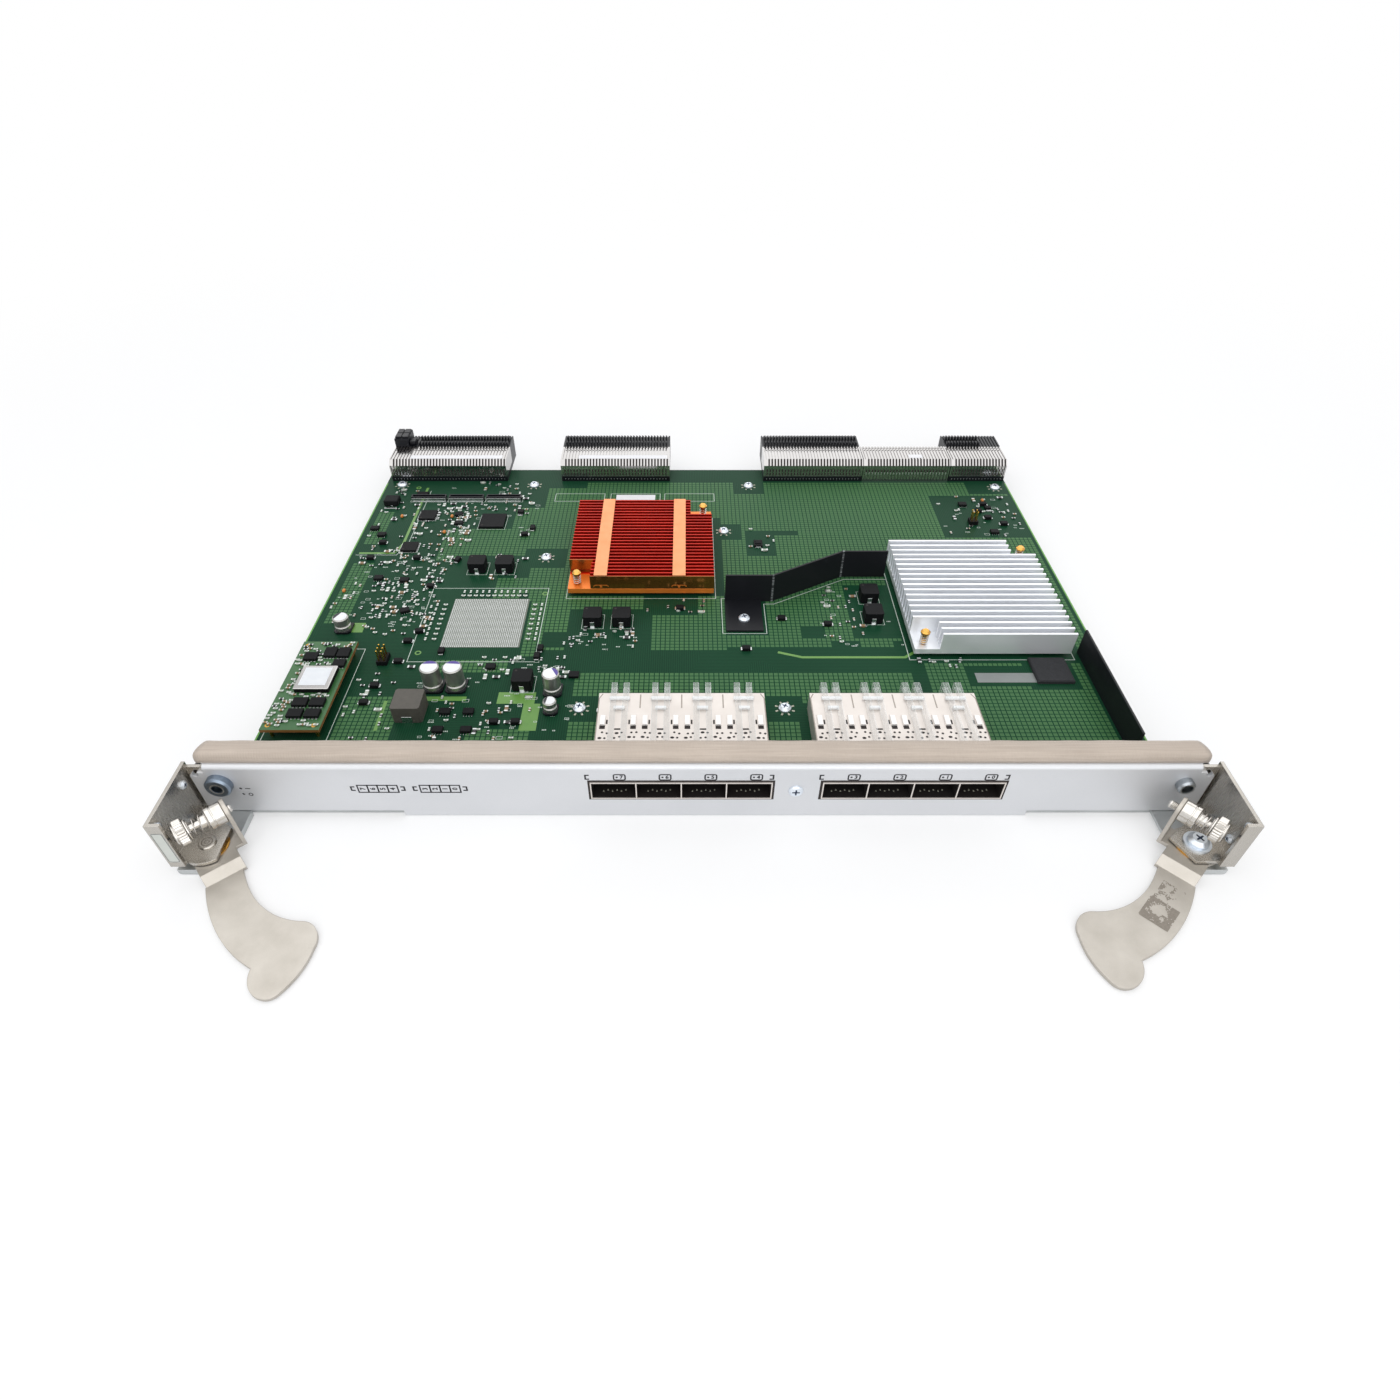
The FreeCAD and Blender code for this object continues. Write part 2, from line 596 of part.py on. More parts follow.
def port_cage(centre):
    half = CAGE_WIDTH / 2
    shell = block(centre - half, centre + half, -CAGE_PROUD, CAGE_BACK, BOARD_TOP, CAGE_TOP)
    reach = (PORT_PITCH - CAGE_WALL) / 2
    bays = [block(x - reach, x + reach, -CAGE_PROUD, CAGE_BACK - CAGE_WALL, BOARD_TOP + CAGE_WALL,
                  CAGE_TOP - CAGE_WALL) for x in bay_centres(centre)]
    return shell.cut(Part.makeCompound(bays))


def port_connectors():
    plugs = []
    back = CAGE_BACK - CAGE_WALL
    for centre in CAGE_CENTRES:
        for x in bay_centres(centre):
            floor = BOARD_TOP + CAGE_WALL
            body = block(x - PLUG_WIDTH / 2, x + PLUG_WIDTH / 2, back - PLUG_DEPTH, back,
                         floor, floor + PLUG_HEIGHT)
            middle = floor + PLUG_HEIGHT / 2
            slot = block(x - PLUG_SLOT_WIDTH / 2, x + PLUG_SLOT_WIDTH / 2, back - PLUG_DEPTH,
                         back - PLUG_DEPTH + PLUG_SLOT_DEPTH, middle - PLUG_SLOT_HEIGHT / 2,
                         middle + PLUG_SLOT_HEIGHT / 2)
            plugs.append(body.cut(slot))
    return plugs


def light_pipes():
    pipes = []
    drop = CAGE_BACK + PIPE_OVERHANG
    for centre in CAGE_CENTRES:
        for x in bay_centres(centre):
            for side in (-1, 1):
                middle = x + side * PIPE_SPACING / 2
                profile = [
                    (PANEL_THICKNESS, CAGE_TOP), (drop - PIPE_HEIGHT, CAGE_TOP),
                    (drop - PIPE_HEIGHT, BOARD_TOP), (drop, BOARD_TOP), (drop, CAGE_TOP + PIPE_HEIGHT / 2),
                    (drop - PIPE_HEIGHT / 2, CAGE_TOP + PIPE_HEIGHT),
                    (PANEL_THICKNESS, CAGE_TOP + PIPE_HEIGHT),
                ]
                pipes.append(section(profile, middle - PIPE_WIDTH / 2, middle + PIPE_WIDTH / 2))
    return pipes


def cage_latches():
    """Sprung tongues bent up from the cages' tops, a pair for each bay."""
    tongues = []
    for centre in CAGE_CENTRES:
        for x in bay_centres(centre):
            for side in (-1, 1):
                middle = x + side * LATCH_SPACING / 2
                profile = [
                    (LATCH_FRONT, CAGE_TOP), (LATCH_FRONT + LATCH_LENGTH, CAGE_TOP),
                    (LATCH_FRONT + LATCH_LENGTH - LATCH_HEIGHT, CAGE_TOP + LATCH_HEIGHT),
                    (LATCH_FRONT, CAGE_TOP + LATCH_HEIGHT),
                ]
                tongues.append(section(profile, middle - LATCH_WIDTH / 2, middle + LATCH_WIDTH / 2))
    return tongues


# Heat sinks: fins run across the blade, and two corners are cut away for the hold-down screws

def corner_notches(left, front, width, depth, z0, z1):
    return Part.makeCompound([
        block(left, left + NOTCH_WIDTH, front, front + NOTCH_DEPTH, z0, z1),
        block(left + width - NOTCH_WIDTH, left + width, front + depth - NOTCH_DEPTH, front + depth, z0, z1),
    ])


def fin_row(left, front, width, depth, count, thickness, z0, z1):
    step = (depth - thickness) / (count - 1)
    return [block(left, left + width, front + i * step, front + i * step + thickness, z0, z1)
            for i in range(count)]


def post_holes(left, front, width, depth):
    return Part.makeCompound([
        upright(left + POST_INSET, front + POST_INSET, SINK_BOTTOM, SINK_TOP, POST_HOLE_RADIUS),
        upright(left + width - POST_INSET, front + depth - POST_INSET, SINK_BOTTOM, SINK_TOP,
                POST_HOLE_RADIUS),
    ])


def copper_sink_base():
    plate = block(COPPER_LEFT, COPPER_LEFT + COPPER_WIDTH, COPPER_FRONT, COPPER_FRONT + COPPER_DEPTH,
                  SINK_BOTTOM, SINK_TOP)
    return plate.cut(post_holes(COPPER_LEFT, COPPER_FRONT, COPPER_WIDTH, COPPER_DEPTH))


def copper_fin_stack():
    size = (COPPER_LEFT, COPPER_FRONT, COPPER_WIDTH, COPPER_DEPTH)
    foil = block(COPPER_LEFT, COPPER_LEFT + COPPER_WIDTH, COPPER_FRONT, COPPER_FRONT + COPPER_DEPTH,
                 SINK_TOP, SINK_TOP + COPPER_FOIL)
    fins = fin_row(*size, COPPER_FINS, COPPER_FIN_THICKNESS, SINK_TOP, SINK_TOP + COPPER_FIN_HEIGHT)
    return join([foil] + fins).cut(corner_notches(*size, SINK_TOP, SINK_TOP + COPPER_FIN_HEIGHT))


def copper_strips():
    top = SINK_TOP + COPPER_FIN_HEIGHT
    strips = []
    for centre in STRIP_CENTRES:
        x = COPPER_LEFT + centre
        strips.append(block(x - STRIP_WIDTH / 2, x + STRIP_WIDTH / 2,
                            COPPER_FRONT, COPPER_FRONT + COPPER_DEPTH, top, top + STRIP_THICKNESS))
    return strips


def aluminium_heatsink():
    size = (ALUMINIUM_LEFT, ALUMINIUM_FRONT, ALUMINIUM_WIDTH, ALUMINIUM_DEPTH)
    plate = block(ALUMINIUM_LEFT, ALUMINIUM_LEFT + ALUMINIUM_WIDTH, ALUMINIUM_FRONT,
                  ALUMINIUM_FRONT + ALUMINIUM_DEPTH, SINK_BOTTOM, SINK_TOP)
    top = SINK_TOP + ALUMINIUM_FIN_HEIGHT
    fins = fin_row(*size, ALUMINIUM_FINS, ALUMINIUM_FIN_THICKNESS, SINK_BOTTOM, top)
    sink = join([plate] + fins).cut(corner_notches(*size, SINK_TOP, top))
    return sink.cut(post_holes(*size))


def sink_chip(left, front, width, depth):
    x = left + width / 2
    y = front + depth / 2
    half = CHIP_SIZE / 2
    return block(x - half, x + half, y - half, y + half, BOARD_TOP, SINK_BOTTOM)


def sink_screws():
    screws = []
    for x, y in sink_posts():
        head_at = SINK_TOP + POST_SPRING_LENGTH
        head = pan_head(x, y, head_at, POST_HEAD_RADIUS, POST_HEAD_HEIGHT)
        screws.append(head.fuse(upright(x, y, BOARD_BOTTOM, head_at, POST_RADIUS)))
    return screws


def sink_springs():
    springs = []
    for x, y in sink_posts():
        spring = coil(POST_SPRING_RADIUS, POST_SPRING_WIRE / 2, POST_SPRING_LENGTH, POST_SPRING_TURNS)
        spring.translate(FreeCAD.Vector(x, y, SINK_TOP))
        springs.append(spring)
    return springs


# Air baffles: a folded black sheet with a screwed foot, and a straight one beside the aluminium sink

def offset_path(points, thickness):
    """Closed outline of a sheet whose one face follows the points and whose other face lies behind it."""
    back = []
    for i, (x, y) in enumerate(points):
        slopes = []
        if i > 0:
            slopes.append(math.atan2(y - points[i - 1][1], x - points[i - 1][0]))
        if i < len(points) - 1:
            slopes.append(math.atan2(points[i + 1][1] - y, points[i + 1][0] - x))
        turn = sum(slopes) / len(slopes)
        reach = thickness / math.cos((slopes[0] - slopes[-1]) / 2)
        back.append((x - reach * math.sin(turn), y + reach * math.cos(turn)))
    return points + back[::-1]


def air_baffle():
    wall = plan(offset_path(BAFFLE_PATH, BAFFLE_THICKNESS), BOARD_TOP, BOARD_TOP + BAFFLE_HEIGHT)
    x, y = BAFFLE_PATH[0]
    foot = block(x, x + BAFFLE_FOOT_WIDTH, y - BAFFLE_FOOT_DEPTH, y + BAFFLE_THICKNESS,
                 BOARD_TOP, BOARD_TOP + BAFFLE_THICKNESS)
    hole = upright(*baffle_screw_place(), BOARD_TOP, BOARD_TOP + BAFFLE_THICKNESS, SCREW_HOLE_RADIUS)
    return join([wall, foot]).cut(hole)


def baffle_screw():
    x, y = baffle_screw_place()
    seat = BOARD_TOP + BAFFLE_THICKNESS
    return pan_head(x, y, seat, SCREW_HEAD_RADIUS, SCREW_HEAD_HEIGHT).fuse(
        upright(x, y, BOARD_BOTTOM, seat, SCREW_RADIUS - SCREW_FIT))


def side_baffle():
    profile = [
        (SIDE_BAFFLE_X, BOARD_TOP), (SIDE_BAFFLE_X + SIDE_BAFFLE_FOOT, BOARD_TOP),
        (SIDE_BAFFLE_X + SIDE_BAFFLE_FOOT, BOARD_TOP + BAFFLE_THICKNESS),
        (SIDE_BAFFLE_X + BAFFLE_THICKNESS, BOARD_TOP + BAFFLE_THICKNESS),
        (SIDE_BAFFLE_X + BAFFLE_THICKNESS, BOARD_TOP + SIDE_BAFFLE_HEIGHT),
        (SIDE_BAFFLE_X, BOARD_TOP + SIDE_BAFFLE_HEIGHT),
    ]
    corners = [FreeCAD.Vector(x, SIDE_BAFFLE_FRONT, z) for x, z in profile]
    face = Part.Face(Part.makePolygon(corners + corners[:1]))
    return face.extrude(FreeCAD.Vector(0, SIDE_BAFFLE_LENGTH, 0))


# Connectors along the back edge: stacks of thin wafers in black housings

def grooves(left, width, front, back, bottom, top):
    """Thin slots, one between each wafer and the next, cut into a stack's front and top."""
    count = int(width / WAFER_PITCH)
    start = left + (width - (count - 1) * WAFER_PITCH) / 2
    slots = []
    for i in range(count):
        x = start + i * WAFER_PITCH
        slots.append(block(x - GROOVE_WIDTH / 2, x + GROOVE_WIDTH / 2, front, back, bottom, top))
    return slots


def wafer_stack(edge, x, width, housed):
    left = across(edge, x)
    bottom = BOARD_TOP + (HOUSING_HEIGHT if housed else 0)
    top = BOARD_TOP + HOUSING_HEIGHT + WAFER_HEIGHT
    back = CONNECTOR_FRONT + WAFER_DEPTH
    stack = block(left, left + width, CONNECTOR_FRONT, back, bottom, top)
    crown = edges_along(stack, X_AXIS, lambda p: p.z > top - TOUCH and p.y < CONNECTOR_FRONT + TOUCH)
    stack = stack.makeChamfer(WAFER_ROUND, crown)
    slots = grooves(left, width, CONNECTOR_FRONT, CONNECTOR_FRONT + GROOVE_DEPTH, bottom, top - WAFER_ROUND)
    slots += grooves(left, width, CONNECTOR_FRONT + WAFER_ROUND, back, top - GROOVE_DEPTH, top)
    return stack.cut(Part.makeCompound(slots))


def rear_housing(edge, x, width):
    left = across(edge, x)
    back = CONNECTOR_FRONT + WAFER_DEPTH
    base = block(left, left + width, CONNECTOR_FRONT, back + MATING_DEPTH,
                 BOARD_TOP, BOARD_TOP + HOUSING_HEIGHT)
    top = BOARD_TOP + HOUSING_HEIGHT + MATING_HEIGHT - GROOVE_DEPTH
    mating = block(left, left + width, back, back + MATING_DEPTH, BOARD_TOP + HOUSING_HEIGHT, top)
    rows = grooves(left, width, back, back + MATING_DEPTH, top - GROOVE_DEPTH, top)
    return join([base, mating]).cut(Part.makeCompound(rows))


def rear_key_block():
    left = across(*CONNECTORS[0][:2])
    back = CONNECTOR_FRONT + WAFER_DEPTH
    top = BOARD_TOP + HOUSING_HEIGHT + MATING_HEIGHT - GROOVE_DEPTH
    return block(left, left + KEY_WIDTH, back, back + KEY_DEPTH, top, top + KEY_HEIGHT)


# Board parts

def power_module_board():
    bottom = BOARD_TOP + MODULE_GAP
    return block(MODULE_LEFT, MODULE_LEFT + MODULE_WIDTH, MODULE_FRONT, MODULE_FRONT + MODULE_LENGTH,
                 bottom, bottom + MODULE_THICKNESS)


def power_module_pins():
    pins = []
    for x in (MODULE_LEFT + MODULE_PIN_INSET, MODULE_LEFT + MODULE_WIDTH - MODULE_PIN_INSET):
        for y in (MODULE_FRONT + MODULE_PIN_INSET, MODULE_FRONT + MODULE_LENGTH / 2,
                  MODULE_FRONT + MODULE_LENGTH - MODULE_PIN_INSET):
            pins.append(upright(x, y, BOARD_TOP, BOARD_TOP + MODULE_GAP, MODULE_PIN_RADIUS))
    return pins


def power_module_parts():
    """Lidded chip and smaller packages, placed from the module board's left back corner."""
    top = BOARD_TOP + MODULE_GAP + MODULE_THICKNESS
    back = MODULE_FRONT + MODULE_LENGTH
    solids = []
    for x, y, width, depth, height in MODULE_PARTS:
        left = MODULE_LEFT + x
        solids.append(block(left, left + width, back - y - depth, back - y, top, top + height))
    return solids


def can_capacitor(edge, place, y, radius, height):
    """Rolled aluminium can, turned profile with a groove above its base and a bevelled top."""
    x = across(edge, place)
    foot = BOARD_TOP + CAN_BASE_HEIGHT
    top = BOARD_TOP + height
    groove = foot + CAN_GROOVE_HEIGHT
    neck = radius - CAN_GROOVE
    profile = [
        (0, foot), (radius, foot), (radius, groove - CAN_GROOVE), (neck, groove),
        (radius, groove + CAN_GROOVE), (radius, top - CAN_GROOVE), (neck, top), (0, top),
    ]
    corners = [FreeCAD.Vector(x + r, y, z) for r, z in profile]
    face = Part.Face(Part.makePolygon(corners + corners[:1]))
    return face.revolve(FreeCAD.Vector(x, y, 0), Z_AXIS, 360)


def capacitor_base(edge, place, y, radius, height):
    x = across(edge, place)
    half = radius + CAN_BASE_MARGIN
    base = block(x - half, x + half, y - half, y + half, BOARD_TOP, BOARD_TOP + CAN_BASE_HEIGHT)
    cut = edges_along(base, Z_AXIS, lambda p: p.y < y)
    return base.makeChamfer(CAN_BASE_CUT, cut)


def moulded_block(edge, place, y, size, height, chamfer):
    x = across(edge, place)
    half = size / 2
    body = block(x - half, x + half, y - half, y + half, BOARD_TOP, BOARD_TOP + height)
    uprights = edges_along(body, Z_AXIS, lambda p: True)
    return body.makeChamfer(chamfer, uprights)


def chip_package(x, y, width, depth, height):
    return block(x - width / 2, x + width / 2, y - depth / 2, y + depth / 2, BOARD_TOP, BOARD_TOP + height)


def slim_connector(edge, place, y):
    x = across(edge, place)
    half = SLIM_WIDTH / 2
    body = chip_package(x, y, SLIM_WIDTH, SLIM_DEPTH, SLIM_HEIGHT)
    return body.cut(block(x - half + SLIM_WALL, x + half - SLIM_WALL, y - SLIM_DEPTH / 2 + SLIM_WALL,
                          y + SLIM_DEPTH / 2 - SLIM_WALL, BOARD_TOP + SLIM_FLOOR, BOARD_TOP + SLIM_HEIGHT))


def header_places(edge, place, y, rows):
    x = across(edge, place)
    return [(x + column * HEADER_PITCH / 2, y + (row - (rows - 1) / 2) * HEADER_PITCH)
            for row in range(rows) for column in (-1, 1)]


def pin_header(edge, place, y, rows):
    body = chip_package(across(edge, place), y, 2 * HEADER_PITCH, rows * HEADER_PITCH, HEADER_HEIGHT)
    half = HEADER_PIN / 2 + HEADER_PIN_GAP
    holes = [block(px - half, px + half, py - half, py + half, BOARD_TOP, BOARD_TOP + HEADER_HEIGHT)
             for px, py in header_places(edge, place, y, rows)]
    return body.cut(Part.makeCompound(holes))


def header_pins():
    half = HEADER_PIN / 2
    return [block(px - half, px + half, py - half, py + half, BOARD_TOP, BOARD_TOP + HEADER_PIN_LENGTH)
            for header, rows in HEADERS for px, py in header_places(*header, rows)]


def square_pad():
    pad = block(PAD_LEFT, PAD_LEFT + PAD_SIZE, PAD_FRONT, PAD_FRONT + PAD_SIZE,
                BOARD_TOP, BOARD_TOP + PAD_HEIGHT)
    rim = [edge for edge in pad.Edges if edge.CenterOfMass.z > BOARD_TOP + PAD_HEIGHT - TOUCH]
    return pad.makeChamfer(PAD_CHAMFER, rim)


# Ejector pieces that stay with the blade, in the closed lever's frame of the left end

def on_side(shape, side, opening=0.0):
    """Moves a piece from the closed lever's frame to the left (-1) or right (1) end, turned open."""
    placed = shape.copy() if side < 0 else shape.mirror(FreeCAD.Vector(0, 0, 0), X_AXIS)
    placed.rotate(FreeCAD.Vector(0, 0, 0), Z_AXIS, side * opening)
    placed.translate(FreeCAD.Vector(side * PIVOT_X, -PIVOT_SETBACK, 0))
    return placed


def rounded_plate():
    """Bottom plate of the left bracket, its free side an arc about the pivot."""
    wall = -PIVOT_TO_WALL
    round_end = upright(0, 0, PLATE_BOTTOM, PLATE_TOP, PLATE_RADIUS)
    inner = block(wall, PLATE_INNER, -PLATE_RADIUS, PLATE_RADIUS, PLATE_BOTTOM, PLATE_TOP)
    corner = block(wall, 0, PIVOT_SETBACK - BRACKET_FRONT + SHEET, 0, PLATE_BOTTOM, PLATE_TOP)
    return inner.common(round_end).fuse(corner)


def angular_plate():
    """Bottom plate of the right bracket, cut straight on its free side."""
    wall = -PIVOT_TO_WALL
    front = PIVOT_SETBACK - BRACKET_FRONT + SHEET
    return plan([(wall, front), (PLATE_NOSE, front), PLATE_POINT, (0, PLATE_RADIUS), (wall, PLATE_RADIUS)],
                PLATE_BOTTOM, PLATE_TOP)


def bracket(plate, screws):
    """Folded channel: side wall, front flange, bottom plate, and a back flange behind the panel."""
    wall = -PIVOT_TO_WALL
    panel = PIVOT_SETBACK
    front = PIVOT_SETBACK - BRACKET_FRONT
    side = block(wall - SHEET, wall, front, panel + PANEL_THICKNESS + SHEET, PLATE_BOTTOM, WALL_HEIGHT)
    flange = block(wall - SHEET, wall - SHEET + BRACKET_FLANGE, front, front + SHEET,
                   PLATE_BOTTOM, WALL_HEIGHT)
    back = block(wall - SHEET, wall - SHEET + BRACKET_BACK_FLANGE, panel + PANEL_THICKNESS,
                 panel + PANEL_THICKNESS + SHEET, PLATE_BOTTOM, PANEL_HEIGHT - PANEL_THICKNESS)
    strip = block(wall, -PLATE_SIDE, 0, panel, PLATE_BOTTOM, PLATE_TOP)
    folded = join([side, flange, back, plate, strip])
    holes = [
        upright(0, 0, PLATE_BOTTOM, PLATE_TOP, PIVOT_RADIUS),
        upright(BUSH_X, BUSH_Y, PLATE_BOTTOM, PLATE_TOP, BUSH_SCREW_RADIUS + SCREW_FIT),
        bar(PIVOT_X - CORNER_HOLE_X, CORNER_HOLE_Z, panel + PANEL_THICKNESS, panel + PANEL_THICKNESS + SHEET,
            CORNER_HOLE_RADIUS),
    ]
    for y, z in screws:
        holes.append(Part.makeCylinder(WALL_SCREW_RADIUS + SCREW_FIT, SHEET,
                                       FreeCAD.Vector(wall - SHEET, y + PIVOT_SETBACK, z), X_AXIS))
    return folded.cut(Part.makeCompound(holes))


def wall_screw(y, z):
    """Screw through the side wall, its head inside."""
    seat = FreeCAD.Vector(-PIVOT_TO_WALL, y + PIVOT_SETBACK, z)
    head = Part.makeCylinder(WALL_SCREW_HEAD_RADIUS, WALL_SCREW_HEAD_HEIGHT, seat, X_AXIS)
    rim = [edge for edge in head.Edges
           if edge.Closed and edge.CenterOfMass.x > seat.x + WALL_SCREW_HEAD_HEIGHT / 2]
    head = head.makeChamfer(WALL_SCREW_HEAD_HEIGHT * HEAD_BEVEL, rim)
    return head.fuse(Part.makeCylinder(WALL_SCREW_RADIUS, SHEET, seat - X_AXIS * SHEET, X_AXIS))


def lower_plate(flanged):
    """Plate under the lever on the tray's ear, folded down in front; the left one is folded inside too."""
    wall = -PIVOT_TO_WALL
    front = PIVOT_SETBACK - BRACKET_FRONT
    back = PIVOT_SETBACK + PANEL_THICKNESS + EAR_DEPTH
    inner = LOWER_PLATE_INNER
    cut = LOWER_PLATE_CHAMFER
    flat = plan([(wall, front), (inner - cut, front), (inner, front + cut), (inner, back), (wall, back)],
                SHEET, LOWER_PLATE_TOP)
    lip = block(wall, inner - cut, front, front + SHEET, 0, LOWER_PLATE_TOP)
    outer = edges_along(lip, Y_AXIS, lambda p: p.x < wall + TOUCH and p.z < TOUCH)
    pieces = [flat, lip.makeFillet(LIP_ROUND, outer)]
    if flanged:
        pieces.append(block(inner - SHEET, inner, front + cut, PIVOT_SETBACK, 0, LOWER_PLATE_TOP))
    holes = [upright(0, 0, SHEET, LOWER_PLATE_TOP, PIVOT_RADIUS),
             upright(BUSH_X, BUSH_Y, SHEET, LOWER_PLATE_TOP, BUSH_SCREW_RADIUS + SCREW_FIT)]
    return join(pieces).cut(Part.makeCompound(holes))


def spacer_bush():
    bush = upright(BUSH_X, BUSH_Y, LOWER_PLATE_TOP, PLATE_BOTTOM, BUSH_RADIUS)
    return bush.cut(upright(BUSH_X, BUSH_Y, LOWER_PLATE_TOP, PLATE_BOTTOM, BUSH_SCREW_RADIUS + SCREW_FIT))


def bush_screw():
    head = pan_head(BUSH_X, BUSH_Y, PLATE_TOP, BUSH_HEAD_RADIUS, BUSH_HEAD_HEIGHT)
    return head.fuse(upright(BUSH_X, BUSH_Y, SHEET, PLATE_TOP, BUSH_SCREW_RADIUS))


def pivot_pin(head):
    return head.fuse(upright(0, 0, SHEET, PLATE_TOP, PIVOT_RADIUS))


def left_pivot():
    return pivot_pin(pan_head(0, 0, PLATE_TOP, RIVET_HEAD_RADIUS, RIVET_HEAD_HEIGHT))


def right_pivot():
    seat = PLATE_TOP + PIVOT_WASHER
    head = pan_head(0, 0, seat, PIVOT_HEAD_RADIUS, PIVOT_HEAD_HEIGHT)
    return pivot_pin(head.fuse(upright(0, 0, PLATE_TOP, seat, PIVOT_RADIUS)))


def ring(z0, z1, outer, inner):
    return upright(0, 0, z0, z1, outer).cut(upright(0, 0, z0, z1, inner))


def panel_insert(radius):
    """Threaded receptacle for the thumbscrew: flange in front of the panel, shank through it."""
    panel = PIVOT_SETBACK
    head = bar(SCREW_OFFSET, SCREW_HEIGHT, panel - INSERT_PROUD, panel, radius)
    rim = [edge for edge in head.Edges if edge.Closed and edge.CenterOfMass.y < panel - INSERT_PROUD / 2]
    head = head.makeChamfer(INSERT_PROUD / 4, rim)
    shank = bar(SCREW_OFFSET, SCREW_HEIGHT, panel, panel + PANEL_THICKNESS, INSERT_SHANK_RADIUS)
    bore = bar(SCREW_OFFSET, SCREW_HEIGHT, panel - INSERT_PROUD, panel + PANEL_THICKNESS, INSERT_BORE_RADIUS)
    return head.fuse(shank).cut(bore)


# Lever: stamped blank with a joggle, a broad finger tab and an upturned flange for the thumbscrew

def lever():
    hub = upright(0, 0, LEVER_BOTTOM, LEVER_TOP, LEVER_HUB_RADIUS)
    neck = block(0, JOGGLE_START, -LEVER_NECK, LEVER_NECK, LEVER_BOTTOM, LEVER_TOP)
    left = SCREW_OFFSET - TAB_WIDTH / 2
    right = SCREW_OFFSET + TAB_WIDTH / 2
    tab_foot = block(left, right, 0, TAB_Y + LEVER_THICKNESS, LEVER_BOTTOM, LEVER_TOP)
    flange = block(left, right, TAB_Y, TAB_Y + LEVER_THICKNESS, LEVER_BOTTOM, TAB_TOP)
    crown = edges_along(flange, Y_AXIS, lambda p: p.z > TAB_TOP - TOUCH)
    flange = flange.makeFillet(TAB_WIDTH * 0.4, crown)
    low = TABLE_GAP
    high = TABLE_GAP + LEVER_THICKNESS
    end = JOGGLE_START + JOGGLE_LENGTH
    slope = [(JOGGLE_START, LEVER_BOTTOM), (end, low), (end, high), (JOGGLE_START, LEVER_TOP)]
    corners = [FreeCAD.Vector(x, -LEVER_NECK, z) for x, z in slope]
    joggle = Part.Face(Part.makePolygon(corners + corners[:1])).extrude(FreeCAD.Vector(0, 2 * LEVER_NECK, 0))
    edges = []
    for run in (OUTER_EDGE, HEEL_EDGE, TIP_EDGE, NOSE_EDGE, INNER_EDGE):
        curve = Part.BSplineCurve()
        curve.interpolate([FreeCAD.Vector(x, y, low) for x, y in run])
        edges.append(curve.toShape())
    start = FreeCAD.Vector(*OUTER_EDGE[0], low)
    finish = FreeCAD.Vector(*INNER_EDGE[-1], low)
    edges.append(Part.makeLine(finish, start))
    tab = Part.Face(Part.Wire(edges)).extrude(FreeCAD.Vector(0, 0, LEVER_THICKNESS))
    blank = join([hub, neck, tab_foot, flange, joggle, tab])
    holes = [upright(0, 0, LEVER_BOTTOM, LEVER_TOP, PIVOT_RADIUS + PIVOT_CLEARANCE),
             bar(SCREW_OFFSET, SCREW_HEIGHT, TAB_Y, TAB_Y + LEVER_THICKNESS,
                 FERRULE_SPIGOT_RADIUS + FERRULE_FIT)]
    return blank.cut(Part.makeCompound(holes))


# Captive thumbscrew: ferrule in the lever's flange, spring, washer and knob, all along the screw's axis

def ferrule():
    body = bar(SCREW_OFFSET, SCREW_HEIGHT, FERRULE_FRONT, TAB_Y, FERRULE_RADIUS)
    hub = bar(SCREW_OFFSET, SCREW_HEIGHT, FERRULE_FRONT - HUB_LENGTH, FERRULE_FRONT, HUB_RADIUS)
    spigot = bar(SCREW_OFFSET, SCREW_HEIGHT, TAB_Y, TAB_Y + LEVER_THICKNESS, FERRULE_SPIGOT_RADIUS)
    bore = bar(SCREW_OFFSET, SCREW_HEIGHT, FERRULE_FRONT - HUB_LENGTH, TAB_Y + LEVER_THICKNESS,
               FERRULE_BORE_RADIUS)
    return join([body, hub, spigot]).cut(bore)


def thumbscrew_spring(press):
    spring = coil(SPRING_RADIUS, SPRING_WIRE / 2, SPRING_LENGTH - press - 2 * SPRING_GAP, SPRING_TURNS)
    spring.rotate(FreeCAD.Vector(0, 0, 0), X_AXIS, 90)
    spring.translate(FreeCAD.Vector(SCREW_OFFSET, FERRULE_FRONT - SPRING_GAP, SCREW_HEIGHT))
    return spring


def screw_washer(press):
    face = KNOB_FACE + SCREW_WASHER_GAP + press
    disc = bar(SCREW_OFFSET, SCREW_HEIGHT, face, face + SCREW_WASHER, SCREW_WASHER_RADIUS)
    return disc.cut(bar(SCREW_OFFSET, SCREW_HEIGHT, face, face + SCREW_WASHER,
                        SHANK_RADIUS + PIVOT_CLEARANCE))


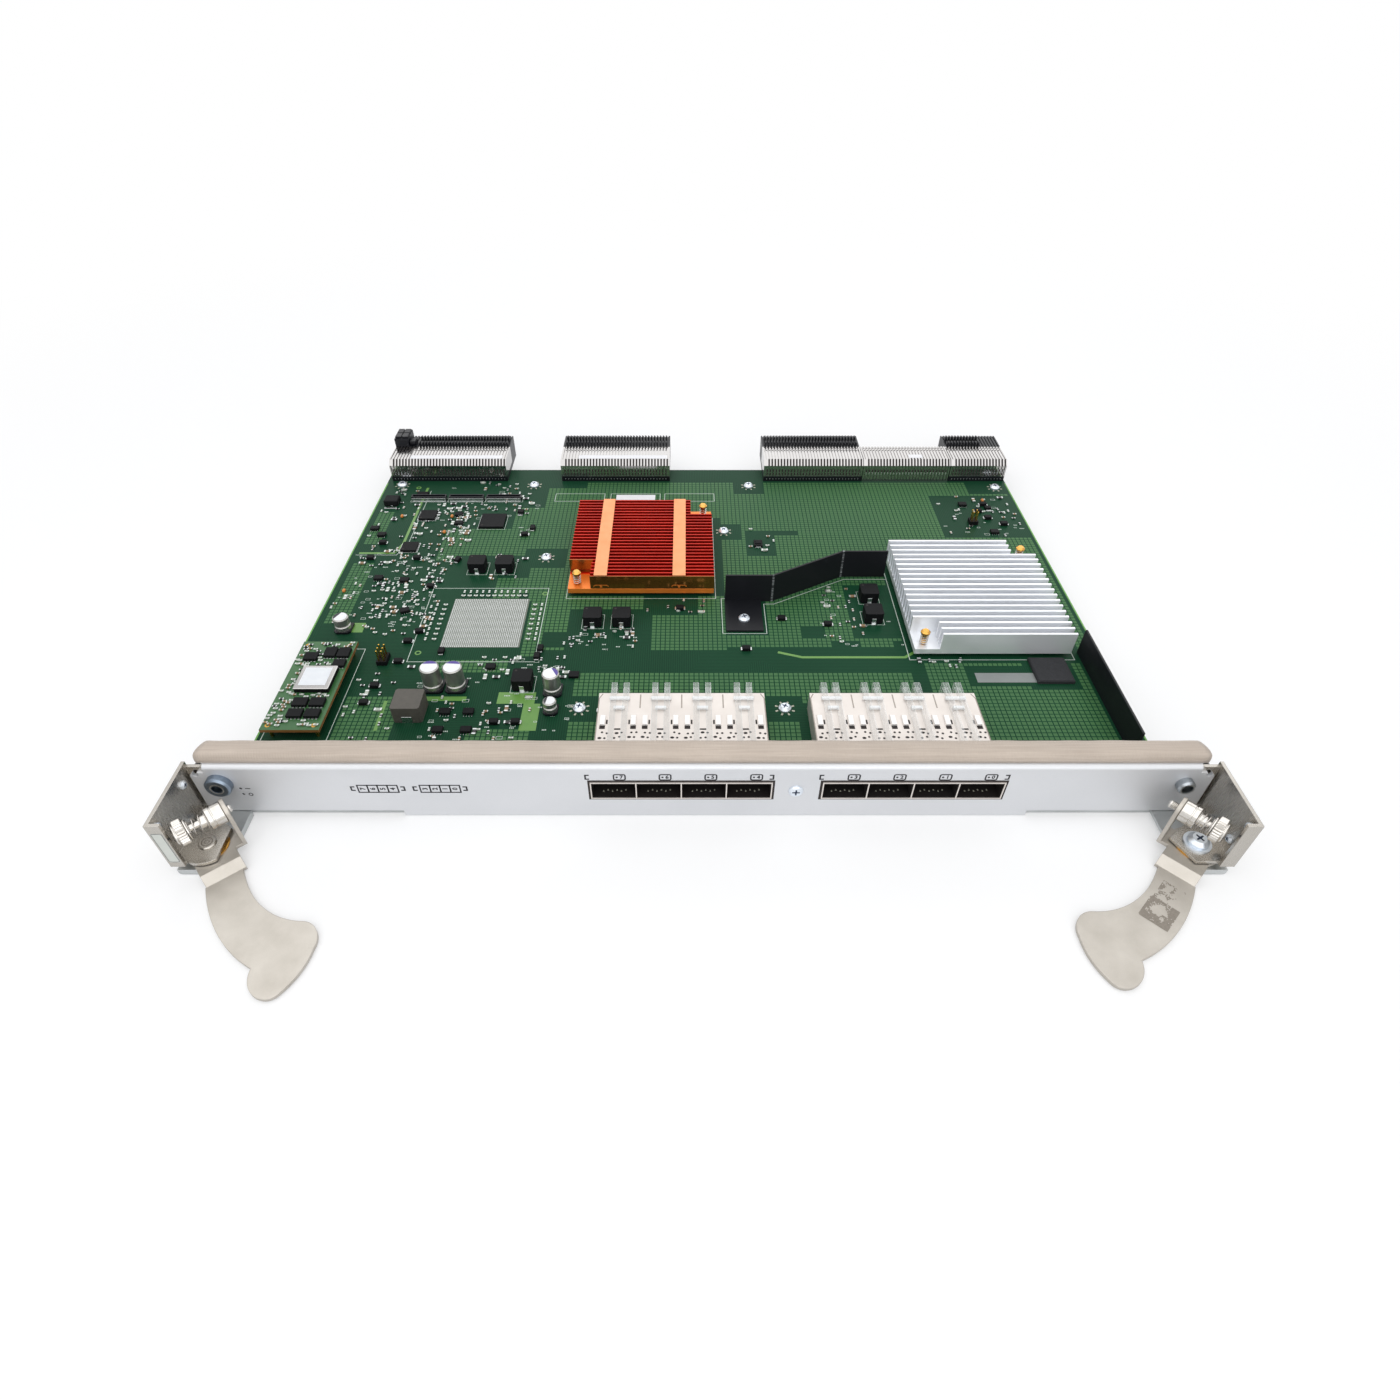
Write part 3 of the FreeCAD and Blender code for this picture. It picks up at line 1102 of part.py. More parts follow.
def thumbscrew(press):
    face = KNOB_FACE + press
    tip = SCREW_TIP + press
    end = face - KNOB_LENGTH
    knob = bar(SCREW_OFFSET, SCREW_HEIGHT, end, face, KNOB_RADIUS)
    knob = knob.makeChamfer(KNOB_CHAMFER, [edge for edge in knob.Edges if edge.Closed])
    slot = block(SCREW_OFFSET - KNOB_RADIUS, SCREW_OFFSET + KNOB_RADIUS, end, end + KNOB_SLOT_DEPTH,
                 SCREW_HEIGHT - KNOB_SLOT_WIDTH / 2, SCREW_HEIGHT + KNOB_SLOT_WIDTH / 2)
    shank = bar(SCREW_OFFSET, SCREW_HEIGHT, face, tip - THREAD_LENGTH, SHANK_RADIUS)
    thread = bar(SCREW_OFFSET, SCREW_HEIGHT, tip - THREAD_LENGTH, tip, THREAD_RADIUS)
    point = [edge for edge in thread.Edges if edge.Closed and edge.CenterOfMass.y > tip - TOUCH]
    return join([knob.cut(slot), shank, thread.makeChamfer(THREAD_RADIUS * 0.3, point)])


# The blade, put together from the tray up

save("carrier_tray", carrier_tray())
save("tray_standoffs", *tray_standoffs())
save("main_board", main_board())
save("board_screws", *board_screws(), baffle_screw())
save("front_panel", front_panel())
save("panel_screw", panel_screw())
save("panel_block", panel_block())
save("emi_gasket", emi_gasket())
save("left_port_cage", port_cage(CAGE_CENTRES[0]))
save("right_port_cage", port_cage(CAGE_CENTRES[1]))
save("port_connectors", *port_connectors())
save("light_pipes", *light_pipes())
save("cage_latches", *cage_latches())
save("sink_chips", sink_chip(COPPER_LEFT, COPPER_FRONT, COPPER_WIDTH, COPPER_DEPTH),
     sink_chip(ALUMINIUM_LEFT, ALUMINIUM_FRONT, ALUMINIUM_WIDTH, ALUMINIUM_DEPTH))
save("copper_sink_base", copper_sink_base())
save("copper_fin_stack", copper_fin_stack())
save("copper_strips", *copper_strips())
save("aluminium_heatsink", aluminium_heatsink())
save("sink_screws", *sink_screws())
save("sink_springs", *sink_springs())
save("air_baffle", air_baffle())
save("side_baffle", side_baffle())
save("rear_wafers", *[wafer_stack(*connector) for connector in CONNECTORS])
save("rear_housings", *[rear_housing(edge, x, width) for edge, x, width, housed in CONNECTORS if housed])
save("rear_key_block", rear_key_block())
save("power_module_board", power_module_board())
save("power_module_pins", *power_module_pins())
save("power_module_parts", *power_module_parts())
save("can_capacitors", *[can_capacitor(*can) for can in CANS])
save("capacitor_bases", *[capacitor_base(*can) for can in CANS])
save("power_inductors", *[moulded_block(edge, x, y, INDUCTOR_SIZE, INDUCTOR_HEIGHT, INDUCTOR_CHAMFER)
                          for edge, x, y in INDUCTORS])
save("large_inductor", moulded_block(*LARGE_INDUCTOR, LARGE_INDUCTOR_SIZE, LARGE_INDUCTOR_HEIGHT,
                                     INDUCTOR_CHAMFER))
save("chip_packages", *[chip_package(across(edge, x), *sizes) for edge, x, *sizes in CHIPS])
save("slim_connectors", *[slim_connector(*slim) for slim in SLIM_CONNECTORS])
save("pin_headers", *[pin_header(*header, rows) for header, rows in HEADERS])
save("header_pins", *header_pins())
save("square_pad", square_pad())

# The ejectors at its two ends

for side, word, plate, screws, flanged, insert_radius, opening, press in (
    (-1, "left", rounded_plate(), LEFT_WALL_SCREWS, True, LEFT_INSERT_RADIUS, LEFT_OPENING, LEFT_PRESS),
    (1, "right", angular_plate(), RIGHT_WALL_SCREWS, False, RIGHT_INSERT_RADIUS, RIGHT_OPENING, RIGHT_PRESS),
):
    save(word + "_bracket", on_side(bracket(plate, screws), side))
    save(word + "_lower_plate", on_side(lower_plate(flanged), side))
    save(word + "_panel_insert", on_side(panel_insert(insert_radius), side))
    save(word + "_lever", on_side(lever(), side, opening))
    save(word + "_ferrule", on_side(ferrule(), side, opening))
    save(word + "_spring", on_side(thumbscrew_spring(press), side, opening))
    save(word + "_screw_washer", on_side(screw_washer(press), side, opening))
    save(word + "_thumbscrew", on_side(thumbscrew(press), side, opening))
save("left_pivot_rivet", on_side(left_pivot(), -1))
save("right_pivot_screw", on_side(right_pivot(), 1))
save("right_pivot_washer", on_side(ring(PLATE_TOP, PLATE_TOP + PIVOT_WASHER, PIVOT_WASHER_RADIUS,
                                        PIVOT_RADIUS), 1))
save("thrust_washers", *[on_side(ring(WASHER_BOTTOM, PLATE_BOTTOM, THRUST_WASHER_RADIUS, PIVOT_RADIUS), side)
                         for side in (-1, 1)])
save("spacer_bushes", *[on_side(spacer_bush(), side) for side in (-1, 1)])
save("bush_screws", *[on_side(bush_screw(), side) for side in (-1, 1)])
save("wall_screws", *[on_side(wall_screw(y, z), side)
                      for side, screws in ((-1, LEFT_WALL_SCREWS), (1, RIGHT_WALL_SCREWS))
                      for y, z in screws])
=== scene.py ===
import bmesh
import bpy
import json
import math
import random
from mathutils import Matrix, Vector, noise


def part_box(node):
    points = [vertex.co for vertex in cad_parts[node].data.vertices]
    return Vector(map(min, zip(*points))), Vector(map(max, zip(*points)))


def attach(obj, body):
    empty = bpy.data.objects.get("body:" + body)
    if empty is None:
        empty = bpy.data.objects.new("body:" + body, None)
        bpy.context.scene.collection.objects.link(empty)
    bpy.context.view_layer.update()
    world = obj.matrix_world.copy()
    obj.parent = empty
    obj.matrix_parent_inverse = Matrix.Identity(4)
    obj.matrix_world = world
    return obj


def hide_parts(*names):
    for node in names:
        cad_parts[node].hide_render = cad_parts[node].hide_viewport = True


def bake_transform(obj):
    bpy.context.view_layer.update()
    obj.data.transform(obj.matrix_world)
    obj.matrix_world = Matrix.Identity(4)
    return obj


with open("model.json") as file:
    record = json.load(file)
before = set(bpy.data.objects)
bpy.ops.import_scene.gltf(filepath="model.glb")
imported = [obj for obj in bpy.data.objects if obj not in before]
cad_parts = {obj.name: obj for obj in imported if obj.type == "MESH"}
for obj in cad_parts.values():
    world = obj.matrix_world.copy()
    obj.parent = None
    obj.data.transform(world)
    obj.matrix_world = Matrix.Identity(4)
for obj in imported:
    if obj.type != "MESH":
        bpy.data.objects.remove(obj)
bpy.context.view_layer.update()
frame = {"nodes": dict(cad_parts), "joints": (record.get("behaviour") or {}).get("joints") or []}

# Carrier tray: one folded sheet of zinc-plated steel with low side walls and an ear under each ejector.
# Standoffs are pressed into it, and it is the face that the blade rests on.
MM = 0.001
PANEL_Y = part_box("front_panel")[0].y
BOARD_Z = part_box("main_board")[1].z
WAVE_PERIOD = 0.314  # the distance over which a wave texture of scale 1 repeats


def linear(code):
    """An sRGB hex colour as the linear values that a shader takes."""
    parts = [int(code[i:i + 2], 16) / 255 for i in (1, 3, 5)]
    return tuple(c / 12.92 if c <= 0.04045 else ((c + 0.055) / 1.055) ** 2.4 for c in parts) + (1.0,)


def give(tree, node, inputs):
    """Sets a node's inputs to values, or links them to other nodes' results."""
    for key, value in inputs.items():
        if isinstance(value, bpy.types.NodeSocket):
            tree.links.new(value, node.inputs[key])
        else:
            node.inputs[key].default_value = value


def add(tree, kind, settings={}, inputs={}):
    """Adds a node with its settings and inputs."""
    made = tree.nodes.new(kind)
    for name, value in settings.items():
        setattr(made, name, value)
    give(tree, made, inputs)
    return made


def worked(tree, operation, *values):
    """The result of a maths node."""
    return add(tree, "ShaderNodeMath", {"operation": operation}, dict(enumerate(values))).outputs[0]


def axes(tree, vector):
    """The X, Y and Z of a vector."""
    return add(tree, "ShaderNodeSeparateXYZ", {}, {"Vector": vector}).outputs


def clouded(tree, place, size, detail=2.0):
    """Noise in patches of a size in mm."""
    return add(tree, "ShaderNodeTexNoise", {},
               {"Vector": place, "Scale": 1 / (size * MM), "Detail": detail}).outputs["Fac"]


def lined(tree, place, direction, pitch, waver=0.0, detail=2.0):
    """Lines across one direction, a pitch in mm apart."""
    return add(tree, "ShaderNodeTexWave", {"bands_direction": direction},
               {"Vector": place, "Scale": WAVE_PERIOD / (pitch * MM), "Distortion": waver,
                "Detail": detail}).outputs["Fac"]


def stretched(tree, place, scale):
    """Coordinates scaled along each axis, to draw a texture out."""
    return add(tree, "ShaderNodeMapping", {}, {"Vector": place, "Scale": scale}).outputs[0]


def mixed(tree, factor, first, second, blend="MIX"):
    """Two colours, hex codes or other nodes' results, mixed by a factor."""
    tones = [linear(tone) if isinstance(tone, str) else tone for tone in (first, second)]
    return add(tree, "ShaderNodeMix", {"data_type": "RGBA", "blend_type": blend},
               {"Factor": factor, 6: tones[0], 7: tones[1]}).outputs[2]


def ranged(tree, value, low, high, start=0.0, end=1.0):
    """A value carried from between start and end to between low and high."""
    return add(tree, "ShaderNodeMapRange", {}, {"Value": value, "From Min": start, "From Max": end,
                                                "To Min": low, "To Max": high}).outputs[0]


def bumped(tree, height, strength, depth, edge=0.0):
    """A relief of a depth in mm, with sheet edges broken over edge mm."""
    inputs = {"Height": height, "Strength": strength, "Distance": depth * MM}
    if edge:
        inputs["Normal"] = add(tree, "ShaderNodeBevel", {"samples": 4}, {"Radius": edge * MM}).outputs[0]
    return add(tree, "ShaderNodeBump", {}, inputs).outputs[0]


def finish_of(name):
    """A new material, its tree, its shader and the piece's own coordinates."""
    made = bpy.data.materials.new(name)
    made.use_nodes = True
    tree = made.node_tree
    return made, tree, tree.nodes["Principled BSDF"], add(tree, "ShaderNodeTexCoord").outputs["Object"]


def surface(name, pale, deep, rough, cloud, grain=0.3, depth=0.01, metal=0.0, stretch=(1, 1, 1), spread=0.08,
            edge=0.0, shine=0.5):
    """A finish of two close tones in clouds (cloud mm across) with a fine grain (grain mm across, depth mm deep)
    that also varies the gloss, and with sheet edges broken over edge mm."""
    made, tree, shader, place = finish_of(name)
    fine = clouded(tree, stretched(tree, place, stretch), grain, 3.0)
    give(tree, shader, {"Base Color": mixed(tree, clouded(tree, place, cloud, 4.0), pale, deep),
                        "Roughness": ranged(tree, fine, rough - spread / 2, rough + spread, 0.3, 0.7),
                        "Normal": bumped(tree, fine, 0.6, depth, edge),
                        "Metallic": metal, "Specular IOR Level": shine})
    return made


def coat_nodes(finish, *names):
    """Gives CAD nodes their finish."""
    for name in names:
        for slot in frame["nodes"][name].material_slots:
            slot.material = finish


# electro-zinc on cold-rolled sheet: pale blue-grey, cloudy, with a soft satin gloss
zinc_sheet = surface("zinc_plated_steel", "#cfd2d2", "#a9adae", rough=0.36, cloud=14, grain=0.5, metal=1.0,
                     stretch=(0.2, 1, 1), edge=0.25)
coat_nodes(zinc_sheet, "carrier_tray", "tray_standoffs", "left_lower_plate", "right_lower_plate", "spacer_bushes",
           "panel_block")

# Main board: a thick glass-fibre laminate with dark green solder mask, screwed to the standoffs.
# Its cut edge shows the laminate's layers, and tracks run under the mask on its top.
made, tree, shader, place = finish_of("solder_mask_on_glass_epoxy")
upward = axes(tree, add(tree, "ShaderNodeNewGeometry").outputs["Normal"])["Z"]
is_flat = worked(tree, "GREATER_THAN", worked(tree, "ABSOLUTE", upward), 0.5)
# routed tracks: lines 1.1 mm apart, in long runs one way and then the other
one_way = worked(tree, "GREATER_THAN", clouded(tree, place, 38, 1.0), 0.5)
tracks = add(tree, "ShaderNodeMix", {"data_type": "FLOAT"},
             {0: one_way, 2: lined(tree, place, "X", 1.1), 3: lined(tree, place, "Y", 1.1)}).outputs[0]
mask = mixed(tree, tracks, "#163f2b", "#1d4d33")
shade = mixed(tree, 0.35, mask, clouded(tree, place, 60), "MULTIPLY")
cut = mixed(tree, lined(tree, place, "Z", 0.5), "#5c9a3c", "#7a7a34")
give(tree, shader, {"Base Color": mixed(tree, is_flat, cut, shade), "Normal": bumped(tree, tracks, 0.3, 0.03),
                    "Roughness": 0.38, "Specular IOR Level": 0.06})
coat_nodes(made, "main_board")

# Hatched copper fill: squares etched in the board's top copper, lighter green where the mask lies on them.
# They stop short of the parts, the tracks and the board's edges.
HATCH_PITCH = 2.45
HATCH_SQUARE = 1.95
HATCH_LIFT = 0.03
HATCH_CORNER = (-200, 8)
HATCH_COUNT = (164, 112)
HATCH_AREAS = [
    (-152, -78, 178, 212), (-112, -72, 140, 262), (-72, 18, 224, 268), (14, 200, 178, 268), (14, 106, 100, 180),
    (-82, 14, 97, 143), (-92, -82, 92, 150), (-62, 106, 57, 80), (104, 190, 8, 88), (-200, -142, 12, 32),
    (-172, -142, 32, 62), (-200, -186, 120, 175), (-62, -48, 8, 57), (32, 46, 8, 57), (192, 200, 96, 262),
    (104, 190, 176, 186), (-132, -96, 80, 90), (-108, -78, 8, 40), (-199, -188, 196, 232),
]
HATCH_GAPS = [
    (-70, -26, 97, 131), (-30, 0, 127, 143), (80, 106, 108, 153), (54, 66, 108, 118), (150, 200, 203, 252),
    (28, 46, 183, 210), (-100, -76, 172, 190), (6, 26, 200, 218), (14, 36, 110, 140), (-139, -96, 160, 182),
    (-120, -96, 236, 262), (24, 44, 254, 268), (132, 168, 70, 84), (162, 186, 69, 93), (-98, -94, 97, 146),
    (40, 60, 204, 211), (-50, -20, 84, 98), (100, 118, 96, 104), (-196, -170, 30, 110), (-66, -48, 46, 63),
    (32, 48, 46, 63), (176, 200, 254, 268), (68, 82, 99, 104), (-80, -60, 100, 112), (104, 112, 20, 88),
    (120, 190, 88, 96),
]


def board(x, y, lift=0.0):
    """A point over the board's top, from millimetres across the blade and back from the panel's face."""
    return Vector((x * MM, y * MM + PANEL_Y, BOARD_Z + lift * MM))


def within(x, y, fields):
    """Whether a place on the board lies in one of the fields."""
    return any(x0 < x < x1 and y0 < y < y1 for x0, x1, y0, y1 in fields)


def oblong(x0, x1, y0, y1):
    """Corners of an upright oblong."""
    return [(x0, y0), (x1, y0), (x1, y1), (x0, y1)]


def circle(x, y, radius, sides):
    """Points round a circle."""
    turns = [2 * math.pi * k / sides for k in range(sides)]
    return [(x + radius * math.cos(a), y + radius * math.sin(a)) for a in turns]


def plain_mesh(name, corners, faces):
    """A mesh from its corners and faces."""
    mesh = bpy.data.meshes.new(name)
    mesh.from_pydata([tuple(c) for c in corners], [], faces)
    mesh.update()
    return mesh


def flat_shape(outline):
    """A flat face from an outline in mm."""
    return plain_mesh("flat_shape", [(x * MM, y * MM, 0) for x, y in outline], [tuple(range(len(outline)))])


def piece(name, mesh, finish, body):
    """A finished piece at the origin, riding a body."""
    made = bpy.data.objects.new(name, mesh)
    bpy.context.scene.collection.objects.link(made)
    mesh.materials.clear()
    mesh.materials.append(finish)
    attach(made, body)
    return made


# Geometry Nodes: one small shape set on every place of a list, each with its own turn and size
places_tree = bpy.data.node_groups.new("shape_on_places", "GeometryNodeTree")
sockets = {}
for label, kind in (("Places", "Geometry"), ("Shape", "Object"), ("Finish", "Material")):
    sockets[label] = places_tree.interface.new_socket(label, in_out="INPUT",
                                                      socket_type="NodeSocket" + kind).identifier
places_tree.interface.new_socket("Pieces", in_out="OUTPUT", socket_type="NodeSocketGeometry")
given = add(places_tree, "NodeGroupInput").outputs
shape_in = add(places_tree, "GeometryNodeObjectInfo", {}, {"Object": given["Shape"]})
turn_in, size_in = (add(places_tree, "GeometryNodeInputNamedAttribute", {"data_type": "FLOAT_VECTOR"},
                        {"Name": label}).outputs["Attribute"] for label in ("turn", "size"))
turned_by = add(places_tree, "FunctionNodeEulerToRotation", {}, {0: turn_in})
on_places = add(places_tree, "GeometryNodeInstanceOnPoints", {},
                {"Points": given["Places"], "Instance": shape_in.outputs["Geometry"],
                 "Rotation": turned_by.outputs[0], "Scale": size_in})
made_real = add(places_tree, "GeometryNodeRealizeInstances", {}, {"Geometry": on_places.outputs[0]})
painted = add(places_tree, "GeometryNodeSetMaterial", {},
              {"Geometry": made_real.outputs[0], "Material": given["Finish"]})
add(places_tree, "NodeGroupOutput", {}, {"Pieces": painted.outputs[0]})


def spot(point, turn=0.0, size=(1, 1, 1)):
    """A place for a repeated shape, with its turn (a number turns it level) and its share of the shape's size."""
    return point, turn if isinstance(turn, tuple) else (0, 0, turn), size


def repeated(name, shape, places, finish):
    """Sets a shape on each place, a spot or a bare point, and keeps the result as one plain mesh on the blade."""
    spots = [place if isinstance(place, tuple) else spot(place) for place in places]
    points = plain_mesh(name + "_places", [place[0] for place in spots], [])
    for part, label in ((1, "turn"), (2, "size")):
        values = points.attributes.new(label, "FLOAT_VECTOR", "POINT").data
        values.foreach_set("vector", [value for place in spots for value in place[part]])
    source = bpy.data.objects.new(name + "_shape", shape)
    holder = bpy.data.objects.new(name + "_places", points)
    for one in (source, holder):
        bpy.context.scene.collection.objects.link(one)
    modifier = holder.modifiers.new("shape_on_places", "NODES")
    modifier.node_group = places_tree
    modifier[sockets["Shape"]] = source
    modifier[sockets["Finish"]] = finish
    mesh = bpy.data.meshes.new_from_object(holder.evaluated_get(bpy.context.evaluated_depsgraph_get()))
    for label in ("turn", "size"):
        if label in mesh.attributes:
            mesh.attributes.remove(mesh.attributes[label])
    holder.modifiers.clear()
    for one in (holder, source):
        bpy.data.objects.remove(one)
    return piece(name, mesh, finish, "blade")


squares = []
for i in range(HATCH_COUNT[0]):
    for k in range(HATCH_COUNT[1]):
        x, y = HATCH_CORNER[0] + i * HATCH_PITCH, HATCH_CORNER[1] + k * HATCH_PITCH
        if within(x, y, HATCH_AREAS) and not within(x, y, HATCH_GAPS):
            squares.append(board(x, y, HATCH_LIFT))
half = HATCH_SQUARE / 2
# copper under green mask: a lighter, yellower green than the bare laminate
made, tree, shader, place = finish_of("masked_copper_fill")
give(tree, shader, {"Base Color": mixed(tree, clouded(tree, place, 90), "#507d49", "#42694a"),
                    "Normal": bumped(tree, clouded(tree, place, 0.6), 0.3, 0.01),
                    "Roughness": 0.4, "Specular IOR Level": 0.08})
repeated("hatched_copper_fill", flat_shape(oblong(-half, half, -half, half)), squares, made)

# Printed legend on the board: thin white ink lines round the parts, with bare marks where words would stand.
# Screw holes have a ring of bare tinned pads, and the empty chip site is a field of tinned dots.
LINE = 0.35
FINE_LINE = 0.25


def stroke(points, width, closed=False):
    """Flat strips along a run of points, as four-cornered faces in the plane."""
    count = len(points)
    sides = []
    for i, here in enumerate(points):
        before = points[i - 1] if i > 0 or closed else None
        after = points[(i + 1) % count] if i < count - 1 or closed else None
        runs = [(Vector(here) - Vector(before)).normalized()] if before else []
        if after:
            runs.append((Vector(after) - Vector(here)).normalized())
        lean = sum(runs, Vector((0, 0))).normalized()
        across = Vector((-lean.y, lean.x)) * (width / 2 / max(0.4, lean.dot(runs[0])))
        sides.append((Vector(here) + across, Vector(here) - across))
    quads = []
    for i in range(count if closed else count - 1):
        a, b = sides[i], sides[(i + 1) % count]
        quads.append([a[1], b[1], b[0], a[0]])
    return quads


def level_at(z):
    """Lays flat shapes on a level face, in mm across the blade and back from the panel's face."""
    return lambda x, y: Vector((x * MM, y * MM + PANEL_Y, z))


def over_board(lift):
    """Lays flat shapes a lift in mm over the board's top."""
    return level_at(BOARD_Z + lift * MM)


def printed(name, polygons, to_place, finish):
    """Flat shapes laid on a face of the blade as ink, a label or bare copper."""
    corners, faces = [], []
    for polygon in polygons:
        faces.append(tuple(range(len(corners), len(corners) + len(polygon))))
        corners += [to_place(p[0], p[1]) for p in polygon]
    return piece(name, plain_mesh(name, corners, faces), finish, "blade")


legend = []
for edges in ((-147, -83, 88.5, 151), (-72.5, 9.5, 141.5, 225), (106, 189, 90, 179), (-90.5, -59, 245, 254.4),
              (-55, -23.4, 245, 254.4), (-20.4, 11.2, 245, 254.4), (-200.5, -170.5, 32, 98.5)):
    legend += stroke(oblong(*edges), LINE, True)
for x, y, width, depth in (
        (-167, 227, 11.4, 11.4), (-125.6, 220, 16.6, 16.6), (-170, 191.5, 10.4, 10.4), (-170.4, 246.5, 23.4, 5),
        (-146.5, 246.5, 23.4, 5), (-122.7, 246.5, 23.4, 5), (-125.6, 170, 11.4, 12), (-110, 170, 11.4, 12),
        (-56, 121, 11.4, 12), (-40.7, 121, 11.4, 12), (93, 142, 11.4, 11.4), (92.5, 124, 11.4, 11.4),
        (-86, 71.5, 11.4, 12)):
    legend += stroke(oblong(x - width / 2, x + width / 2, y - depth / 2, y + depth / 2), FINE_LINE, True)
for run in ([(12.5, 111), (12.5, 141.5), (39, 141.5), (80, 164.5), (106, 164.5)],
            [(35.5, 111), (35.5, 136.5), (41, 136.5), (82, 159.5), (106, 159.5)],
            [(12.5, 111), (35.5, 111)],
            [(-200, 184), (-176, 184), (-172, 196), (-172, 258)]):
    legend += stroke(run, LINE)
chooser = random.Random(7)
for x0, x1, y0, y1, count in ((-198, -142, 112, 185, 70), (-160, -100, 205, 262, 34), (-140, -85, 30, 90, 44),
                              (-90, -62, 40, 90, 26), (150, 198, 205, 250, 18), (60, 104, 100, 150, 16),
                              (-66, -30, 96, 110, 14)):
    for i in range(count):
        x = chooser.uniform(x0, x1)
        y = chooser.uniform(y0, y1)
        long = chooser.uniform(1.2, 3.0)
        if chooser.random() < 0.35:
            legend += stroke(oblong(x, x + long, y, y + long * 0.6), 0.2, True)
        else:
            for k in range(chooser.randint(2, 4)):
                legend += stroke([(x + k * 0.75, y), (x + k * 0.75 + 0.45, y)], 0.8)
# epoxy legend ink: flat white, faintly broken at its edges
legend_ink = surface("white_legend_ink", "#d9e2da", "#b7c6ba", rough=0.6, cloud=3, grain=0.4, depth=0.005)
printed("board_legend", legend, over_board(0.05), legend_ink)


def softened(size, bevel, base=0.0):
    """A small block with softened edges, in mm, centred in x and y and standing on its base."""
    shape = bmesh.new()
    bmesh.ops.create_cube(shape, size=1.0)
    for v in shape.verts:
        v.co = Vector((v.co.x * size[0], v.co.y * size[1], (v.co.z + 0.5) * size[2] + base)) * MM
    bmesh.ops.bevel(shape, geom=shape.edges[:], offset=bevel * MM, segments=1, affect="EDGES")
    mesh = bpy.data.meshes.new("softened_block")
    shape.to_mesh(mesh)
    shape.free()
    return mesh


def blocks(name, size, bevel, places, finish, base=0.0):
    """Softened blocks of one size in mm, one on each place."""
    return repeated(name, softened(size, bevel, base), places, finish)


def dots(name, radius, sides, places, finish):
    """Flat many-sided dots, one on each place."""
    return repeated(name, flat_shape(circle(0, 0, radius, sides)), places, finish)


def beside(x, y, turn, along, out=0.0, size=(1, 1, 1)):
    """A spot on the board that lies along and out from a turned part, in mm, and is turned with it."""
    c, s = math.cos(turn), math.sin(turn)
    return spot(board(x + along * c - out * s, y + along * s + out * c), turn, size)


BOARD_SCREWS = [(-192.4, 265.5), (-106.0, 265.0), (34.0, 264.0), (194.4, 262.0), (16.0, 209.3), (-88.0, 181.1),
                (-57.2, 54.7), (40.0, 54.7)]
PAD_RING = 4.2
# tinned copper: bright, soft grey, slightly uneven
tin = surface("tinned_copper", "#dcdedd", "#b5b9ba", rough=0.28, cloud=1.2, metal=1.0)
pads = [beside(x, y, math.pi / 4 * (k + 0.5), PAD_RING) for x, y in BOARD_SCREWS for k in range(8)]
# flat solder left on the earthing pads round each screw, dulled by flux
dull_solder = surface("flux_dulled_solder", "#b7b7a6", "#98998a", rough=0.45, cloud=1.2, metal=0.4)
blocks("screw_pads", (1.4, 0.9, 0.14), 0.06, pads, dull_solder)
site_dots = [board(-132.4 + i, 100.4 + k, 0.06) for i in range(40) for k in range(41)]
dots("chip_site_dots", 0.33, 7, site_dots, tin)
# bare laminate between the dots of the empty chip site: a grey-green tone
site_mask = surface("pale_mask_field", "#6d7266", "#5f665b", rough=0.45, cloud=5, grain=0.6)
printed("chip_site_field", [oblong(-133, -92.2, 99.8, 141.2)], over_board(0.04), site_mask)
rings = []
for x, y in ((-143, 95.5), (-84.5, 146), (-181, 262), (160, 100.5)):
    rings += stroke(circle(x, y, 1.3, 16), 0.7, True)
# wide copper under the mask: the brightest green of the board
fill_green = surface("bright_masked_copper", "#6c9a44", "#578a3c", rough=0.36, cloud=6, grain=0.6)
# the board's long edges: a rim of laminate that the mask leaves bare
RIM_WIDTH = 0.8
board_low, board_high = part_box("main_board")
rims = [oblong(x, x + RIM_WIDTH, 16.0, 268.0) for x in (board_low.x / MM, board_high.x / MM - RIM_WIDTH)]
bare_laminate = surface("bare_green_laminate", "#6fae4f", "#568f40", rough=0.5, cloud=5, grain=0.4)
printed("bare_laminate_rims", rims, over_board(0.04), bare_laminate)
bands = []
for run in ([(40, 96), (52, 92), (104, 92), (112, 98)], [(-150, 60), (-150, 40)],
            [(-198.5, 186), (-178, 186), (-175, 196), (-175, 262)]):
    bands += stroke(run, 1.6)
for edges in ((-97, -79, 58, 66), (-84, -76, 40, 58), (-134, -112, 60, 63), (-186, -176, 112, 120)):
    bands.append(oblong(*edges))
printed("copper_bands", bands + rings, over_board(0.035), fill_green)
# bare plate where the board carries its part label: grey film, left plain
label_film = surface("grey_label_film", "#8d918f", "#7f8583", rough=0.5, cloud=8, grain=0.5)
printed("board_label", [oblong(136, 166, 73, 80)], over_board(0.08), label_film)

